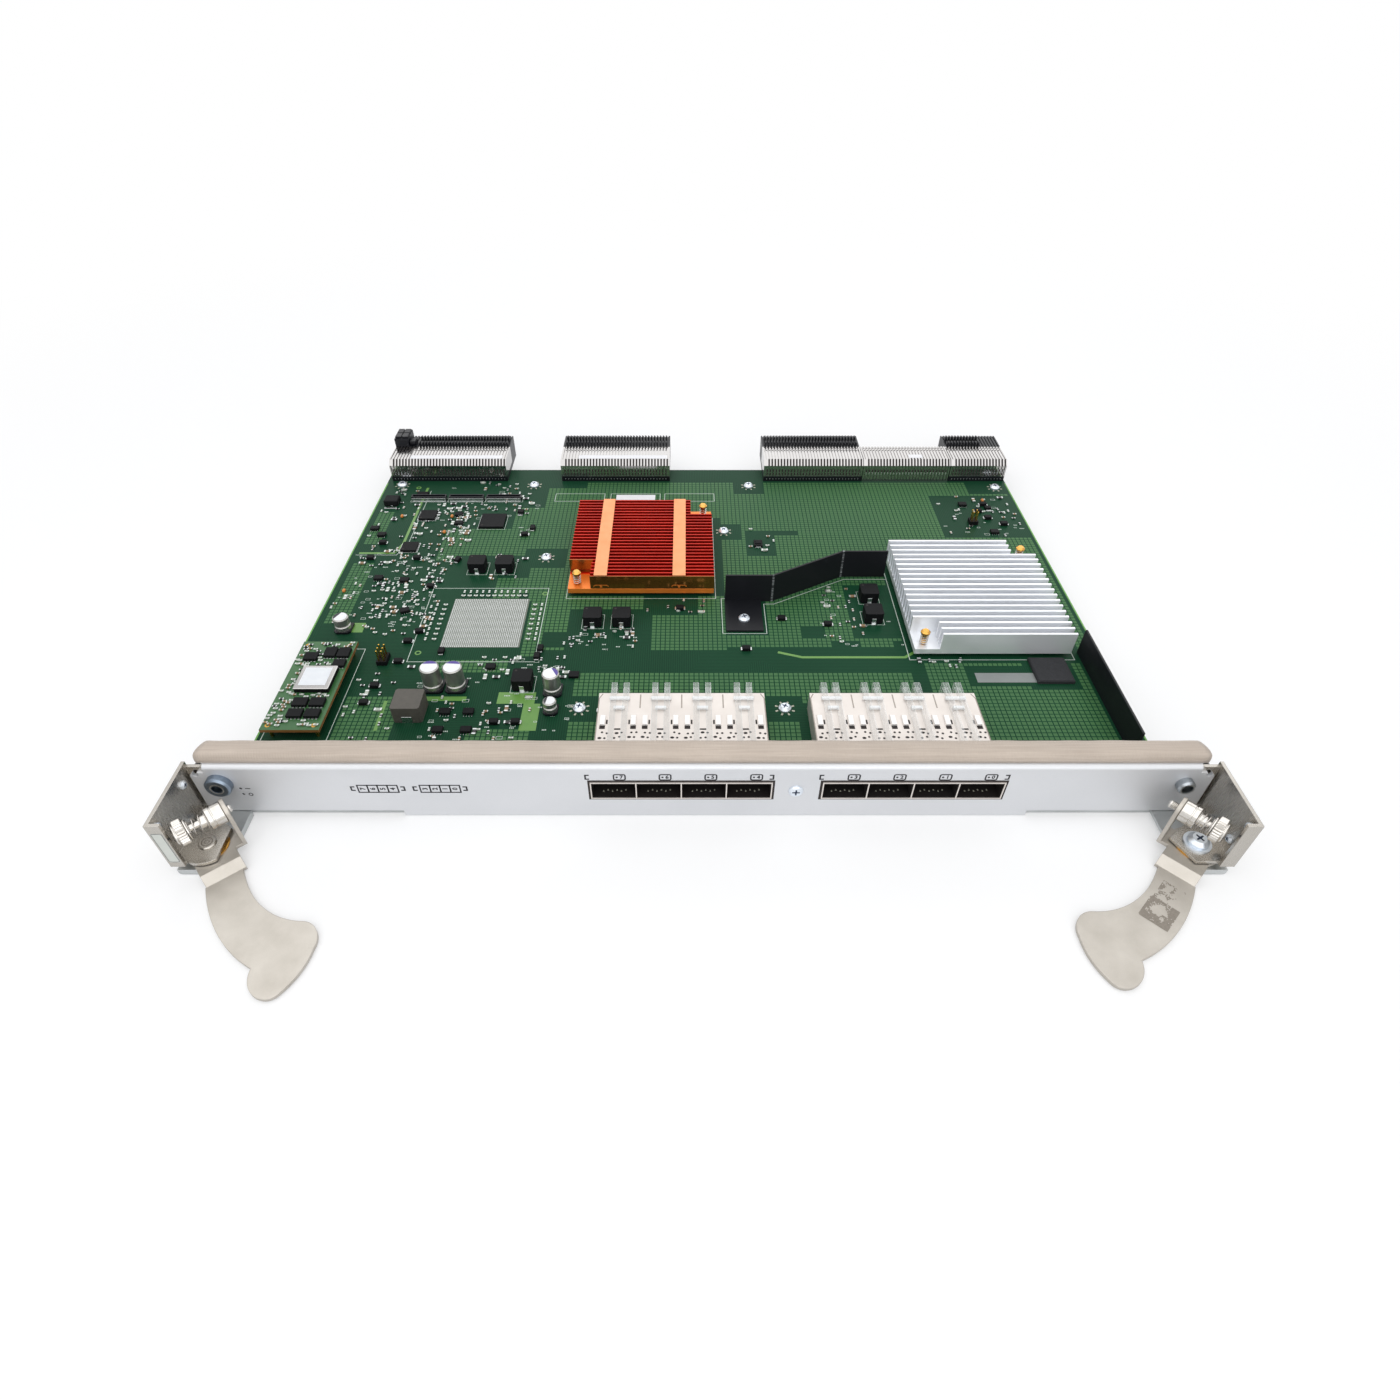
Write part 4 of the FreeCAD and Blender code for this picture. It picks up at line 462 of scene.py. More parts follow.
# Chip resistors and capacitors: ceramic blocks with tinned ends, soldered in clusters round the chips they serve.
# They share two sizes of block, and stand clear of the larger parts.
TAKEN = [
    (-203, -170, 30, 99), (-147, -128, 44, 60), (-136, -111, 62, 77), (-77, -65, 48, 73), (-93, -79, 65, 78),
    (-192, -180, 108, 121), (-173, -161, 221, 233), (-135, -116, 211, 229), (-176, -164, 186, 198),
    (-182, -110, 243, 250), (-181, -171, 248, 256), (-132, -103, 164, 177), (-62, -34, 115, 128),
    (86, 99, 118, 148), (-162, -155, 84, 95), (166, 173, 215, 223), (-133, -92, 99, 142), (-73, 10, 141, 226),
    (106, 189, 90, 179), (12, 36, 110, 142), (-196, -189, 261, 270), (-111, -101, 260, 270), (189, 199, 257, 267),
    (12, 20, 205, 214), (-92, -84, 177, 186), (163, 185, 70, 92), (134, 168, 71, 82), (32, 40, 190, 200),
    (-66, -58, 74, 82),
]
CHIP_SIZE, CHIP_BEVEL = (1.3, 1.0, 0.75), 0.08
END_SIZE, END_BEVEL, END_REACH = (0.5, 1.06, 0.8), 0.06, 0.85
CHIP_ROOM = 1.5
SMALL_SHARE, LARGE_CHIP = 0.8, 1.7
chips = {"dark": [], "tan": [], "pale": []}
chip_picker = random.Random(21)
# fields of the board with the count and the kinds of chip parts, laid loosely on a half-millimetre grid
for x0, x1, y0, y1, count, kinds in (
        (-199, -176, 120, 260, 46, "dark tan pale"),
        (-176, -142, 110, 186, 120, "dark pale pale tan"),
        (-178, -140, 186, 242, 60, "dark pale tan"),
        (-140, -104, 228, 268, 34, "dark pale tan"),
        (-150, -136, 198, 240, 22, "pale tan"),
        (-118, -100, 158, 184, 10, "tan dark"),
        (-170, -142, 30, 86, 20, "dark pale"),
        (-128, -80, 30, 62, 34, "dark pale tan"),
        (-110, -66, 76, 92, 30, "dark pale"),
        (-70, -28, 98, 116, 22, "tan dark pale"),
        (-28, 6, 128, 140, 8, "dark pale"),
        (66, 90, 104, 152, 22, "tan dark pale"),
        (152, 200, 204, 252, 26, "dark pale tan"),
        (30, 46, 182, 212, 7, "pale tan"),
        (110, 140, 84, 90, 8, "pale dark")):
    wanted = count
    for i in range(count * 3):
        if wanted == 0:
            break
        x = round(chip_picker.uniform(x0, x1) * 2) / 2
        y = round(chip_picker.uniform(y0, y1) * 2) / 2
        if within(x, y, TAKEN):
            continue
        TAKEN.append((x - CHIP_ROOM, x + CHIP_ROOM, y - CHIP_ROOM, y + CHIP_ROOM))
        kind = chip_picker.choice(kinds.split())
        turn = chip_picker.choice((0, math.pi / 2))
        chips[kind].append((x, y, turn, 1.0 if chip_picker.random() < SMALL_SHARE else LARGE_CHIP))
        wanted -= 1
# neat rows round the empty chip site
for i in range(11):
    for y, turn in ((143.6, 0), (147.2, math.pi / 2)):
        chips["pale"].append((-129 + i * 3.4, y, turn, 1.0))
for i in range(8):
    for x, turn in ((-137, 0), (-141.5, math.pi / 2), (-88.5, 0), (-84.8, math.pi / 2)):
        chips["pale"].append((x, 106 + i * 4.2, turn, 1.0))
# fired ceramic and resin: black for resistors, tan for capacitors, off-white for arrays
chip_finishes = {}
for kind, name, pale, deep, rough in (("dark", "black_resistor_glaze", "#1c1d1f", "#2a2b2c", 0.35),
                                      ("tan", "tan_capacitor_ceramic", "#9a7f5c", "#7d6248", 0.45),
                                      ("pale", "pale_ceramic", "#c9cbc0", "#9fae9f", 0.45)):
    chip_finishes[kind] = surface(name, pale, deep, rough=rough, cloud=2)
chip_ends = []
for kind, finish in chip_finishes.items():
    bodies = []
    for x, y, turn, grow in chips[kind]:
        size = (grow, grow, 0.6 + grow * 0.4)
        bodies.append(spot(board(x, y), turn, size))
        chip_ends += [beside(x, y, turn, end * END_REACH * grow, size=size) for end in (-1, 1)]
    blocks(kind + "_chip_parts", CHIP_SIZE, CHIP_BEVEL, bodies, finish)
blocks("chip_part_ends", END_SIZE, END_BEVEL, chip_ends, tin)

# Small packages: diodes and transistors of moulded epoxy with tinned tabs, and small ICs with gull-wing legs.
# Orange bead capacitors and regulators with tinned tabs stand between them.
DIODES = [
    (-163, 180, 0), (-151, 88, 0), (-146, 112, 0.2), (-150, 104, 0), (-131, 96, 1.57), (24, 98, 0), (68, 118, 0),
    (44, 123, 0), (-104, 205, 0.1), (-100, 212, 1.57), (-81, 98, 1.57), (-96, 45, 0), (-86, 45, 0), (-82, 92, 1.57),
    (-158, 70, 0), (-160, 58, 0), (180, 224, 0), (176, 232, 0), (188, 217, 0), (181, 240, 0), (-10, 132, 0),
    (-46, 53, 0), (-187, 196, 0), (-190, 180, 0), (-139, 178, 1.3), (-149, 152, 0),
]
SMALL_ICS = [
    (-190, 205, 0), (-180, 160, 0), (-165, 158, 0), (-120, 52, 0), (-109, 52, 0), (-108, 40, 0), (-121, 40, 0),
    (-196, 212, 0), (-158, 130, 0.4), (-148, 228, 0), (-146, 218, 0), (-104, 84, 0), (168, 240, 0), (180, 208, 0),
]
SLIM_X, SLIM_Y = (-170.4, -146.5, -122.7), 246.5
# black epoxy: matt, with a fine moulded grain
epoxy = surface("black_moulded_epoxy", "#0b0c0e", "#141517", rough=0.55, cloud=4, grain=0.35, depth=0.02, edge=0.2,
                shine=0.12)
blocks("small_diodes", (4.2, 3.0, 2.1), 0.25, [beside(x, y, a, 0) for x, y, a in DIODES], epoxy)
tabs = [beside(x, y, a, reach) for x, y, a in DIODES for reach in (-2.4, 2.4)]
blocks("diode_tabs", (0.9, 2.2, 0.9), 0.12, tabs, tin)
blocks("small_ics", (5.0, 3.8, 1.5), 0.25, [beside(x, y, a, 0) for x, y, a in SMALL_ICS], epoxy,
       base=0.15)
# packages with legs along their fronts and backs: place, turn, width, depth and legs to a side
legged = [(x, y, a, 5.0, 3.8, 4) for x, y, a in SMALL_ICS]
for x, y, side in ((-167.0, 227.0, 10.0), (-170.0, 191.5, 9.0)):
    legged += [(x, y, 0, side, side, 11), (x, y, math.pi / 2, side, side, 11)]
legged += [(-176, 252, 0, 7.0, 5.0, 6), (36, 195, 0, 5.0, 6.0, 3)]
legged += [(x, SLIM_Y, 0, 21.0, 3.6, 26) for x in SLIM_X]
legs = []
for x, y, turn, width, depth, count in legged:
    for i in range(count):
        along = (i - (count - 1) / 2) * width / count
        legs += [beside(x, y, turn, along, end * (depth / 2 + 0.45)) for end in (-1, 1)]
blocks("package_legs", (0.38, 1.1, 0.35), 0.05, legs, tin)
beads = [(-152, 226), (-153, 208), (-131, 226.5), (-183, 226), (-196, 148), (182, 245)]
# dipped tantalum beads: orange resin
bead_resin = surface("orange_tantalum_resin", "#d98a3a", "#b96f2c", rough=0.4, cloud=1.5, depth=0.02)
blocks("tantalum_beads", (1.6, 2.4, 1.5), 0.4, [board(x, y) for x, y in beads], bead_resin)
# regulators: place, tab's place back, size, and tab's width as a share
REGULATORS = [(-193, 242.5, 236.6, (1.4, 1.4, 1.5), 1.5), (-110, 231, 228.2, (0.6, 0.6, 0.7), 0.6),
              (36, 195.5, 192.6, (0.55, 0.6, 0.7), 0.6), (183, 236, 233.4, (0.6, 0.5, 0.6), 0.6)]
blocks("regulators", (6.4, 5.6, 2.6), 0.35,
       [spot(board(x, y), size=size) for x, y, tab_y, size, tab in REGULATORS], epoxy)
blocks("regulator_tabs", (5.0, 1.8, 0.5), 0.1,
       [spot(board(x, tab_y), size=(tab, 1, 1)) for x, y, tab_y, size, tab in REGULATORS], tin)

# Board screws: zinc-plated pan heads with a cross recess, driven into the standoffs.
# The recess is dark, with a blue cast from the plating, and the standoffs' feet show in the tray's underside.
# bright zinc with a blue passivation
blue_zinc = surface("bright_blue_zinc", "#e9eef4", "#cfd8e2", rough=0.34, cloud=2.5, grain=0.4, metal=0.7)
coat_nodes(blue_zinc, "board_screws", "panel_screw", "wall_screws", "bush_screws", "right_pivot_screw",
           "right_pivot_washer")
RECESS_ARM, RECESS_HALF = 1.5, 0.36
FACING_FRONT = (math.pi / 2, 0, 0)


def prism(outline, low, high, inset=0.0):
    """An outline raised from one level to another, its top drawn in by a share for a bevel."""
    count = len(outline)
    lower = [Vector((x, y, low)) * MM for x, y in outline]
    upper = [Vector((x * (1 - inset), y * (1 - inset), high)) * MM for x, y in outline]
    faces = [tuple(reversed(range(count))), tuple(range(count, 2 * count))]
    faces += [(i, (i + 1) % count, count + (i + 1) % count, count + i) for i in range(count)]
    return plain_mesh("prism", lower + upper, faces)


def cross(arm, half):
    """Outline of a cross recess, its arms a little narrower at their ends."""
    end = half * 0.7
    return [(half, half), (arm, end), (arm, -end), (half, -half), (end, -arm), (-end, -arm), (-half, -half),
            (-arm, -end), (-arm, end), (-half, half), (-end, arm), (end, arm)]


# recess: blued steel in its own shadow
recess_steel = surface("shadowed_recess_steel", "#2c3a55", "#1c2436", rough=0.4, cloud=0.8, depth=0.02, metal=0.6)
recesses = [spot(board(x, y, 2.0), 0.4 + x) for x, y in BOARD_SCREWS] + [spot(board(24.1, 122.2, 3.0), 0.3)]
recesses.append(spot(board(39.6, -1.2, 4.7), FACING_FRONT, (1.1, 1.1, 1)))
for side, y, z in ((-1, -4.8, 25.5), (-1, -27.0, 26.0), (1, -27.0, 26.0), (1, -23.0, 13.4)):
    recesses.append(spot(level_at(z * MM)(side * 212.0, y), (0, -side * math.pi / 2, 0), (0.66, 0.66, 1)))
recesses.append(spot(level_at(10.15 * MM)(204.0, -20.0), 0.5, (1.25, 1.25, 1)))
recesses += [spot(level_at(8.35 * MM)(x, -7.5), 0.8, (0.72, 0.72, 1)) for x in (-210.5, 210.5)]
repeated("cross_recesses", prism(cross(RECESS_ARM, RECESS_HALF), -0.1, 0.03), recesses, recess_steel)
# flush feet of the standoffs in the tray's underside: a clinched hexagon seam round the end of each thread
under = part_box("carrier_tray")[0].z - 0.02 * MM
seams = []
for x, y in BOARD_SCREWS:
    seams += stroke(circle(x, y, 3.2, 6), 0.3, True)
    seams.append(circle(x, y, 1.5, 16))
printed("standoff_feet", [seam[::-1] for seam in seams], level_at(under), recess_steel)

# Front panel: folded steel sheet with a top flange, in fine silver-grey paint, with port marks printed on it.
# The marks are plain boxes, corner brackets and port numbers in dark ink.
# stove paint: silver-grey, a little metallic, with a fine orange-peel grain
panel_paint = surface("silver_grey_stove_paint", "#d6d7da", "#cacccf", rough=0.4, cloud=40, grain=0.35, depth=0.03,
                      metal=0.45, spread=0.14, edge=0.3)
coat_nodes(panel_paint, "front_panel")
PORT_X = [-37.2, -18.2, 0.8, 19.8, 60.3, 79.3, 98.3, 117.3]
BOX_LINE, BRACKET_LINE = 0.62, 0.7
PORT_MARK_Z, LAMP_MARK_Z = 24.75, 17.45
LAMP_BOX = 4.2
PRINT_LIFT = 0.03


def rounded(x0, x1, z0, z1, r):
    """Outline of a box with rounded corners."""
    run = []
    for cx, cz, start in ((x1 - r, z1 - r, 0), (x0 + r, z1 - r, 1), (x0 + r, z0 + r, 2), (x1 - r, z0 + r, 3)):
        turns = [(start + k / 3) * math.pi / 2 for k in range(4)]
        run += [(cx + r * math.cos(a), cz + r * math.sin(a)) for a in turns]
    return run


def figure(text, x, z, size, turn=0.0):
    """Faces of a plain number, centred on a place."""
    curve = bpy.data.curves.new("figure", "FONT")
    curve.body = text
    curve.size = size
    curve.align_x = curve.align_y = "CENTER"
    curve.resolution_u = 3
    curve.offset = size * 0.035
    holder = bpy.data.objects.new("figure", curve)
    bpy.context.scene.collection.objects.link(holder)
    mesh = bpy.data.meshes.new_from_object(holder.evaluated_get(bpy.context.evaluated_depsgraph_get()))
    c, s = math.cos(turn), math.sin(turn)
    spots = [(x + v.co.x * c - v.co.y * s, z + v.co.x * s + v.co.y * c) for v in mesh.vertices]
    faces = [[spots[i] for i in p.vertices] for p in mesh.polygons]
    bpy.data.objects.remove(holder)
    bpy.data.meshes.remove(mesh)
    return faces


def brackets(x0, x1, z0, z1):
    """A pair of corner brackets that open towards each other."""
    pair = []
    for x, arm in ((x0, 1.6), (x1, -1.6)):
        pair += stroke([(x + arm, z1), (x, z1), (x, z0), (x + arm, z0)], BRACKET_LINE)
    return pair


def upright_at(y, x0=0.0, z0=0.0):
    """Lays flat shapes on an upright face at y, in mm from a corner of it."""
    return lambda x, z: Vector((x0 + x * MM, y, z0 + z * MM))


marks = []
for i, x in enumerate(PORT_X):
    marks += stroke(rounded(x + 0.4, x + 5.2, 23.1, 26.4, 0.7), BOX_LINE, True)
    marks.append(circle(x + 1.7, PORT_MARK_Z, 0.5, 8))
    marks += figure(str(7 - i), x + 3.6, PORT_MARK_Z, 2.7)
for x0, x1 in ((-48.6, 29.6), (49.0, 127.4)):
    marks += brackets(x0, x1, 23.6, 26.0)
for left, numbers in ((-144.8, "7654"), (-118.6, "3210")):
    for i, number in enumerate(numbers):
        x = left + i * LAMP_BOX
        marks += stroke(oblong(x, x + LAMP_BOX, 15.2, 19.7), BOX_LINE, True)
        marks += figure(number, x + LAMP_BOX / 2, LAMP_MARK_Z, 3.0, math.pi / 2)
    marks += brackets(left - 2.8, left + 19.6, 16.5, 18.7)
marks += stroke([(-192.3, 17.6), (-190.1, 17.6)], 0.45)
marks += stroke(circle(-191.1, 13.9, 0.8, 12), 0.4, True)
# screen ink: near black, flat
panel_ink = surface("dark_screen_ink", "#0f0e15", "#191820", rough=0.6, cloud=2, depth=0.005)
printed("panel_marks", marks, upright_at(PANEL_Y - PRINT_LIFT * MM), panel_ink)
# status lamps behind their two small holes: smoked lenses
lamp_lens = surface("smoked_lamp_lens", "#1d1f22", "#2b2d31", rough=0.15, cloud=1, grain=0.4, depth=0.005)
lamps = [spot(level_at(z * MM)(-194.3, 0.3), FACING_FRONT) for z in (13.9, 17.5)]
dots("status_lamps", 0.68, 14, lamps, lamp_lens)
# painted shade for the dark inside of a pierced hole, and dark eight-sided blocks behind the small holes at the
# panel's top corners that paint the shade seen through them
opening_shade = surface("painted_opening_shade", "#17100f", "#241b19", rough=0.7, cloud=1)
corner_hole_shadows = [spot(level_at(26.5 * MM)(x, 3.03), FACING_FRONT) for x in (-209.8, 209.8)]
repeated("clinch_nuts", prism(circle(0, 0, 2.1, 8), -1.8, 0.0, 0.08), corner_hole_shadows, opening_shade)

# Shielding gasket: a foam strip in a sleeve of metallised ripstop fabric, glued along the panel's flange.
# The sleeve is taut and rounded at the front, its cut ends show dark foam, and its weave runs along the strip.
GASKET_RUN = 168
GASKET_FRONT, GASKET_BACK = 2.3, 11.7
GASKET_HALF, GASKET_TAPER = 208.7, 3.4
GASKET_OUTLINE = [(2.35, 31.05), (2.3, 32.6), (2.36, 33.9), (2.7, 35.0), (3.4, 35.85), (4.5, 36.4), (6.0, 36.62),
                  (7.6, 36.6), (9.2, 36.4), (10.5, 35.9), (11.3, 35.0), (11.65, 33.8), (11.7, 32.4), (11.65, 31.05)]


def ring_faces(rings, sides, inward=False):
    """Faces between rings of corners that follow each other."""
    faces = []
    for k in range(rings - 1):
        for i in range(sides):
            a, b = k * sides + i, k * sides + (i + 1) % sides
            faces.append((a, a + sides, b + sides, b) if inward else (a, b, b + sides, a + sides))
    return faces


def face_outwards(mesh, weld=0.0):
    """Turns all faces of a closed mesh outwards, after welding corners that lie closer than weld."""
    shape = bmesh.new()
    shape.from_mesh(mesh)
    if weld:
        bmesh.ops.remove_doubles(shape, verts=shape.verts[:], dist=weld)
    bmesh.ops.recalc_face_normals(shape, faces=shape.faces[:])
    shape.to_mesh(mesh)
    shape.free()


corners = []
for i in range(GASKET_RUN + 1):
    t = 2 * i / GASKET_RUN - 1
    for y, z in GASKET_OUTLINE:
        half = GASKET_HALF - GASKET_TAPER * (y - GASKET_FRONT) / (GASKET_BACK - GASKET_FRONT)
        sag = noise.noise(Vector((t * 24, y * 0.35, z * 0.3))) * (0.16 if z > 31.5 else 0.0)
        corners.append(level_at((z + sag - 0.08 * (z > 35)) * MM)(t * half, y + sag * 0.5))
ring = len(GASKET_OUTLINE)
ends = [tuple(range(ring))[::-1], tuple(range(GASKET_RUN * ring, GASKET_RUN * ring + ring))]
gasket_mesh = plain_mesh("shielding_gasket", corners, ring_faces(GASKET_RUN + 1, ring) + ends)
face_outwards(gasket_mesh)
made, tree, shader, place = finish_of("metallised_ripstop_fabric")
# weave: weft 1.1 mm apart and fibres along the strip, drawn about three times coarser than the cloth to show
fibres = clouded(tree, stretched(tree, place, (0.03, 1, 1)), 0.7, 3.0)
cloth = mixed(tree, fibres, "#d3c6b9", "#b1a294")
threads = worked(tree, "ADD", lined(tree, place, "X", 1.1, waver=1.5, detail=1.0), fibres)
give(tree, shader, {"Base Color": mixed(tree, 0.18, cloth, clouded(tree, place, 22, 3.0), "MULTIPLY"),
                    "Normal": bumped(tree, threads, 0.6, 0.09),
                    "Roughness": 0.62, "Metallic": 0.15, "Sheen Weight": 0.15})
gasket = piece("shielding_gasket", gasket_mesh, made, "blade")
# open-cell foam in the cut ends
foam = surface("dark_cut_foam", "#3a3530", "#57504a", rough=0.9, cloud=0.9, grain=0.4, depth=0.2)
gasket_mesh.materials.append(foam)
for flat in gasket_mesh.polygons:
    flat.use_smooth = len(flat.vertices) == 4
    flat.material_index = 0 if flat.use_smooth else 1
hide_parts("emi_gasket")

# Port cages: ganged boxes of stamped nickel-silver sheet, soldered to the board, with sprung latches bent from their
# tops. Their tops are pierced with slots and vent dots, and their open mouths stand just through the panel.
made, tree, shader, place = finish_of("tinned_nickel_silver")
across, back, up = axes(tree, place)
cages = [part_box("left_port_cage"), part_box("right_port_cage")]
cage_low, cage_high = cages[0]
# painted shade inside the bays: a dark grey, rougher tone behind the mouths, under the tops and between the outer
# walls, where the bays lie unlit
painted_bay_shade = None
for low, high in cages:
    both = worked(tree, "MULTIPLY", worked(tree, "GREATER_THAN", across, low.x + 0.2 * MM),
                  worked(tree, "LESS_THAN", across, high.x - 0.2 * MM))
    painted_bay_shade = both if painted_bay_shade is None else worked(tree, "MAXIMUM", painted_bay_shade, both)
for axis, side, limit in ((up, "LESS_THAN", cage_high.z - 0.3 * MM), (up, "GREATER_THAN", cage_low.z + 0.2 * MM),
                          (back, "GREATER_THAN", cage_low.y + 0.4 * MM), (back, "LESS_THAN", cage_high.y - 0.2 * MM)):
    painted_bay_shade = worked(tree, "MULTIPLY", painted_bay_shade, worked(tree, side, axis, limit))
bright = mixed(tree, clouded(tree, place, 9, 4.0), "#e6dfd9", "#cfc7c0")
give(tree, shader, {"Base Color": mixed(tree, painted_bay_shade, bright, "#2b2726"), "Metallic": 0.5,
                    "Roughness": ranged(tree, painted_bay_shade, 0.32, 0.6)})
coat_nodes(made, "left_port_cage", "right_port_cage")
# the latches: brighter spring sheet
coat_nodes(surface("bright_spring_sheet", "#faf8f6", "#efebe7", rough=0.3, cloud=5, grain=0.5, metal=0.25),
           "cage_latches")
BAY = 19.0
VENT_X = (-7.6, -5.4, -1.1, 1.1, 5.4, 7.6)
on_cage = level_at(cage_high.z)
over_cage = level_at(cage_high.z + PRINT_LIFT * MM)
slots, vents = [], []
piercer = random.Random(4)
for x in PORT_X:
    for side in (-1, 1):
        slots += [spot(on_cage(x + side * 6.9, 32.2), size=(1.15, 1.3, 1)),
                  spot(on_cage(x + side * 5.0, 35.5), size=(0.35, 1.6, 1))]
    slots.append(spot(on_cage(x, 31.0), size=(1.3, 0.55, 1)))
    for k in range(4 * len(VENT_X)):
        row, place_in_row = divmod(k, len(VENT_X))
        shift = VENT_X[place_in_row] + (0.9 if row % 2 else 0.0)
        vents.append(spot(over_cage(x + shift, 20.0 + 2.9 * row + piercer.uniform(-0.5, 0.5)),
                          size=(1, 1, 1) if k % 4 else (1.6, 1.2, 1)))
# the slots and vent holes are flat dark marks: painted shade for the inside of each hole
blocks("cage_slots", (2.2, 1.7, 0.05), 0.02, slots, opening_shade)
dots("cage_vents", 0.58, 9, vents, opening_shade)
seams = []
for centre in (-8.7, 88.8):
    for side in (-1, 1):
        wall = centre + side * 2 * BAY
        seams += stroke([(centre + side * 36.5, 54.0), (wall, 51.0), (wall, 16.0)], 0.5)
    for k in range(-1, 2):
        seams += stroke([(centre + BAY * k, 53.5), (centre + BAY * k, 44.5)], 0.6)
# seams of the folded sheet: duller than its faces
seam_grey = surface("folded_sheet_seam", "#8d857e", "#a09890", rough=0.35, cloud=3, grain=0.4, metal=0.8)
printed("cage_seams", seams, over_cage, seam_grey)
# painted shadow: thin dark frames on the panel's face round each cage's mouth, where the gap between cage and panel
# lies in shade
GAP = 0.5
shaded_gaps = []
for low, high in cages:
    shaded_gaps += stroke(oblong(low.x / MM - GAP, high.x / MM + GAP, low.z / MM - GAP, high.z / MM + GAP), 2 * GAP, True)
printed("cage_mouth_gaskets", shaded_gaps, upright_at(PANEL_Y - PRINT_LIFT * MM), opening_shade)
# dimples pressed up from the floor of each bay, one row behind its mouth
dimples = [board(x + (k - 2.5) * 1.9, 3.4 + 0.6 * (k % 2), 0.5) for x in PORT_X for k in range(6)]
blocks("bay_dimples", (0.6, 0.8, 0.25), 0.1, dimples, dull_solder)

# Port connectors: black liquid-crystal polymer, soldered to the board deep in each bay.
# A slot between two rows of tinned spring contacts takes the plug's edge.
coat_nodes(surface("black_crystal_polymer", "#131416", "#1d1e21", rough=0.4, cloud=4, grain=0.4, depth=0.02),
           "port_connectors")
contacts = [board(x + (k - 4.5) * 1.3, 40.95, 3.3 + row * 1.25) for x in PORT_X for k in range(10) for row in (-1, 1)]
blocks("port_contacts", (0.5, 0.5, 0.7), 0.08, contacts, tin, base=-0.35)

# Light pipes: clear polycarbonate strips clipped on the cages, two to each bay, that carry the lamps' light to the
# panel. Their flats are nearly clear, and their edges are made opaque pale white as a painted highlight.
made, tree, shader, place = finish_of("clear_polycarbonate")
broken = add(tree, "ShaderNodeBevel", {"samples": 4}, {"Radius": 0.45 * MM}).outputs[0]
flat_face = add(tree, "ShaderNodeNewGeometry").outputs["Normal"]
agree = add(tree, "ShaderNodeVectorMath", {"operation": "DOT_PRODUCT"}, {0: broken, 1: flat_face}).outputs["Value"]
give(tree, shader, {"Base Color": linear("#f2f5f4"), "IOR": 1.58, "Coat Weight": 0.6,
                    "Roughness": ranged(tree, clouded(tree, place, 2.5, 3.0), 0.03, 0.16),
                    "Alpha": ranged(tree, agree, 0.17, 0.72, 0.99, 0.85)})
coat_nodes(made, "light_pipes")
# moulded bars that clip each pair of strips to its cage, frosted
bars = [spot(on_cage(x, y), size=(wide, 1, 1)) for x in PORT_X for y, wide in ((50.2, 1.0), (44.0, 0.55))]
frosted = surface("frosted_polycarbonate", "#f6f7f7", "#e9ebeb", rough=0.22, cloud=3)
blocks("pipe_clips", (9.4, 1.7, 1.5), 0.3, bars, frosted)

# Copper heat sink: a milled copper base, a stack of folded red-tinted fins brazed on it, and two pale strips over the
# fins. Its front foil and its base stay mirror-bright, the fins are darker and redder between each other.
stack_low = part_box("copper_fin_stack")[0]
NOTCH_BACK, NOTCH_WIDTH = 15.84, 13.0
made, tree, shader, place = finish_of("lacquered_copper_fins")
across, back, up = axes(tree, place)
notch = worked(tree, "MULTIPLY", worked(tree, "COMPARE", back, stack_low.y + NOTCH_BACK * MM, 0.5 * MM),
               worked(tree, "LESS_THAN", across, stack_low.x + NOTCH_WIDTH * MM))
front = worked(tree, "MAXIMUM", worked(tree, "LESS_THAN", back, stack_low.y + 0.4 * MM), notch)
patina = clouded(tree, place, 18, 4.0)
give(tree, shader, {"Base Color": mixed(tree, front, mixed(tree, patina, "#d62408", "#9c1604"),
                                        mixed(tree, patina, "#9a6a31", "#6f4720")),
                    "Roughness": ranged(tree, front, 0.34, 0.14), "Metallic": 0.8})
coat_nodes(made, "copper_fin_stack")
# the base is milled in long strokes, and the strips keep the grain of the braze
coat_nodes(surface("milled_copper", "#ff9440", "#ee7826", rough=0.34, cloud=9, grain=0.4, metal=0.55,
                   stretch=(0.1, 1, 1), edge=0.3), "copper_sink_base")
coat_nodes(surface("pale_braze_strip", "#f3a878", "#e08f5a", rough=0.42, cloud=6, grain=0.6, depth=0.03, metal=0.6),
           "copper_strips")
# sprung tabs of the clips that hold the strips, seen low on the front foil
tabs = []
for x in (-53.0, -10.5):
    tabs += stroke([(x - 4.2, 1.5), (x - 3.0, 2.3), (x + 3.0, 2.3), (x + 4.2, 1.5)], 0.5)
    tabs += stroke([(x, 0.7), (x, 2.1)], 1.2)
sprung_copper = surface("sprung_copper", "#f08a3c", "#d9702a", rough=0.35, cloud=3, metal=0.4)
printed("strip_clip_tabs", tabs, upright_at(stack_low.y - PRINT_LIFT * MM, z0=stack_low.z), sprung_copper)

# Aluminium heat sink: an extruded block sawn into fins, left bright and unanodised, with two corners cut away.
# Fine saw lines run along the fins and soften its gloss.
coat_nodes(surface("bright_sawn_aluminium", "#f6f8fb", "#eaecf0", rough=0.34, cloud=16, grain=0.35, depth=0.006,
                   metal=0.52, stretch=(0.05, 1, 1), edge=0.2), "aluminium_heatsink")

# Chips under the sinks, and the hold-down screws that press the sinks on them.
# The screws are turned brass heads over springs of bright wire.
brass = surface("turned_brass", "#e0b062", "#c8913f", rough=0.24, cloud=2, metal=1.0)
wire = surface("bright_spring_wire", "#d3cfca", "#a8a39e", rough=0.26, cloud=1.5, metal=1.0)
coat_nodes(epoxy, "sink_chips")
coat_nodes(brass, "sink_screws", "thrust_washers")
coat_nodes(wire, "sink_springs", "left_spring", "right_spring")

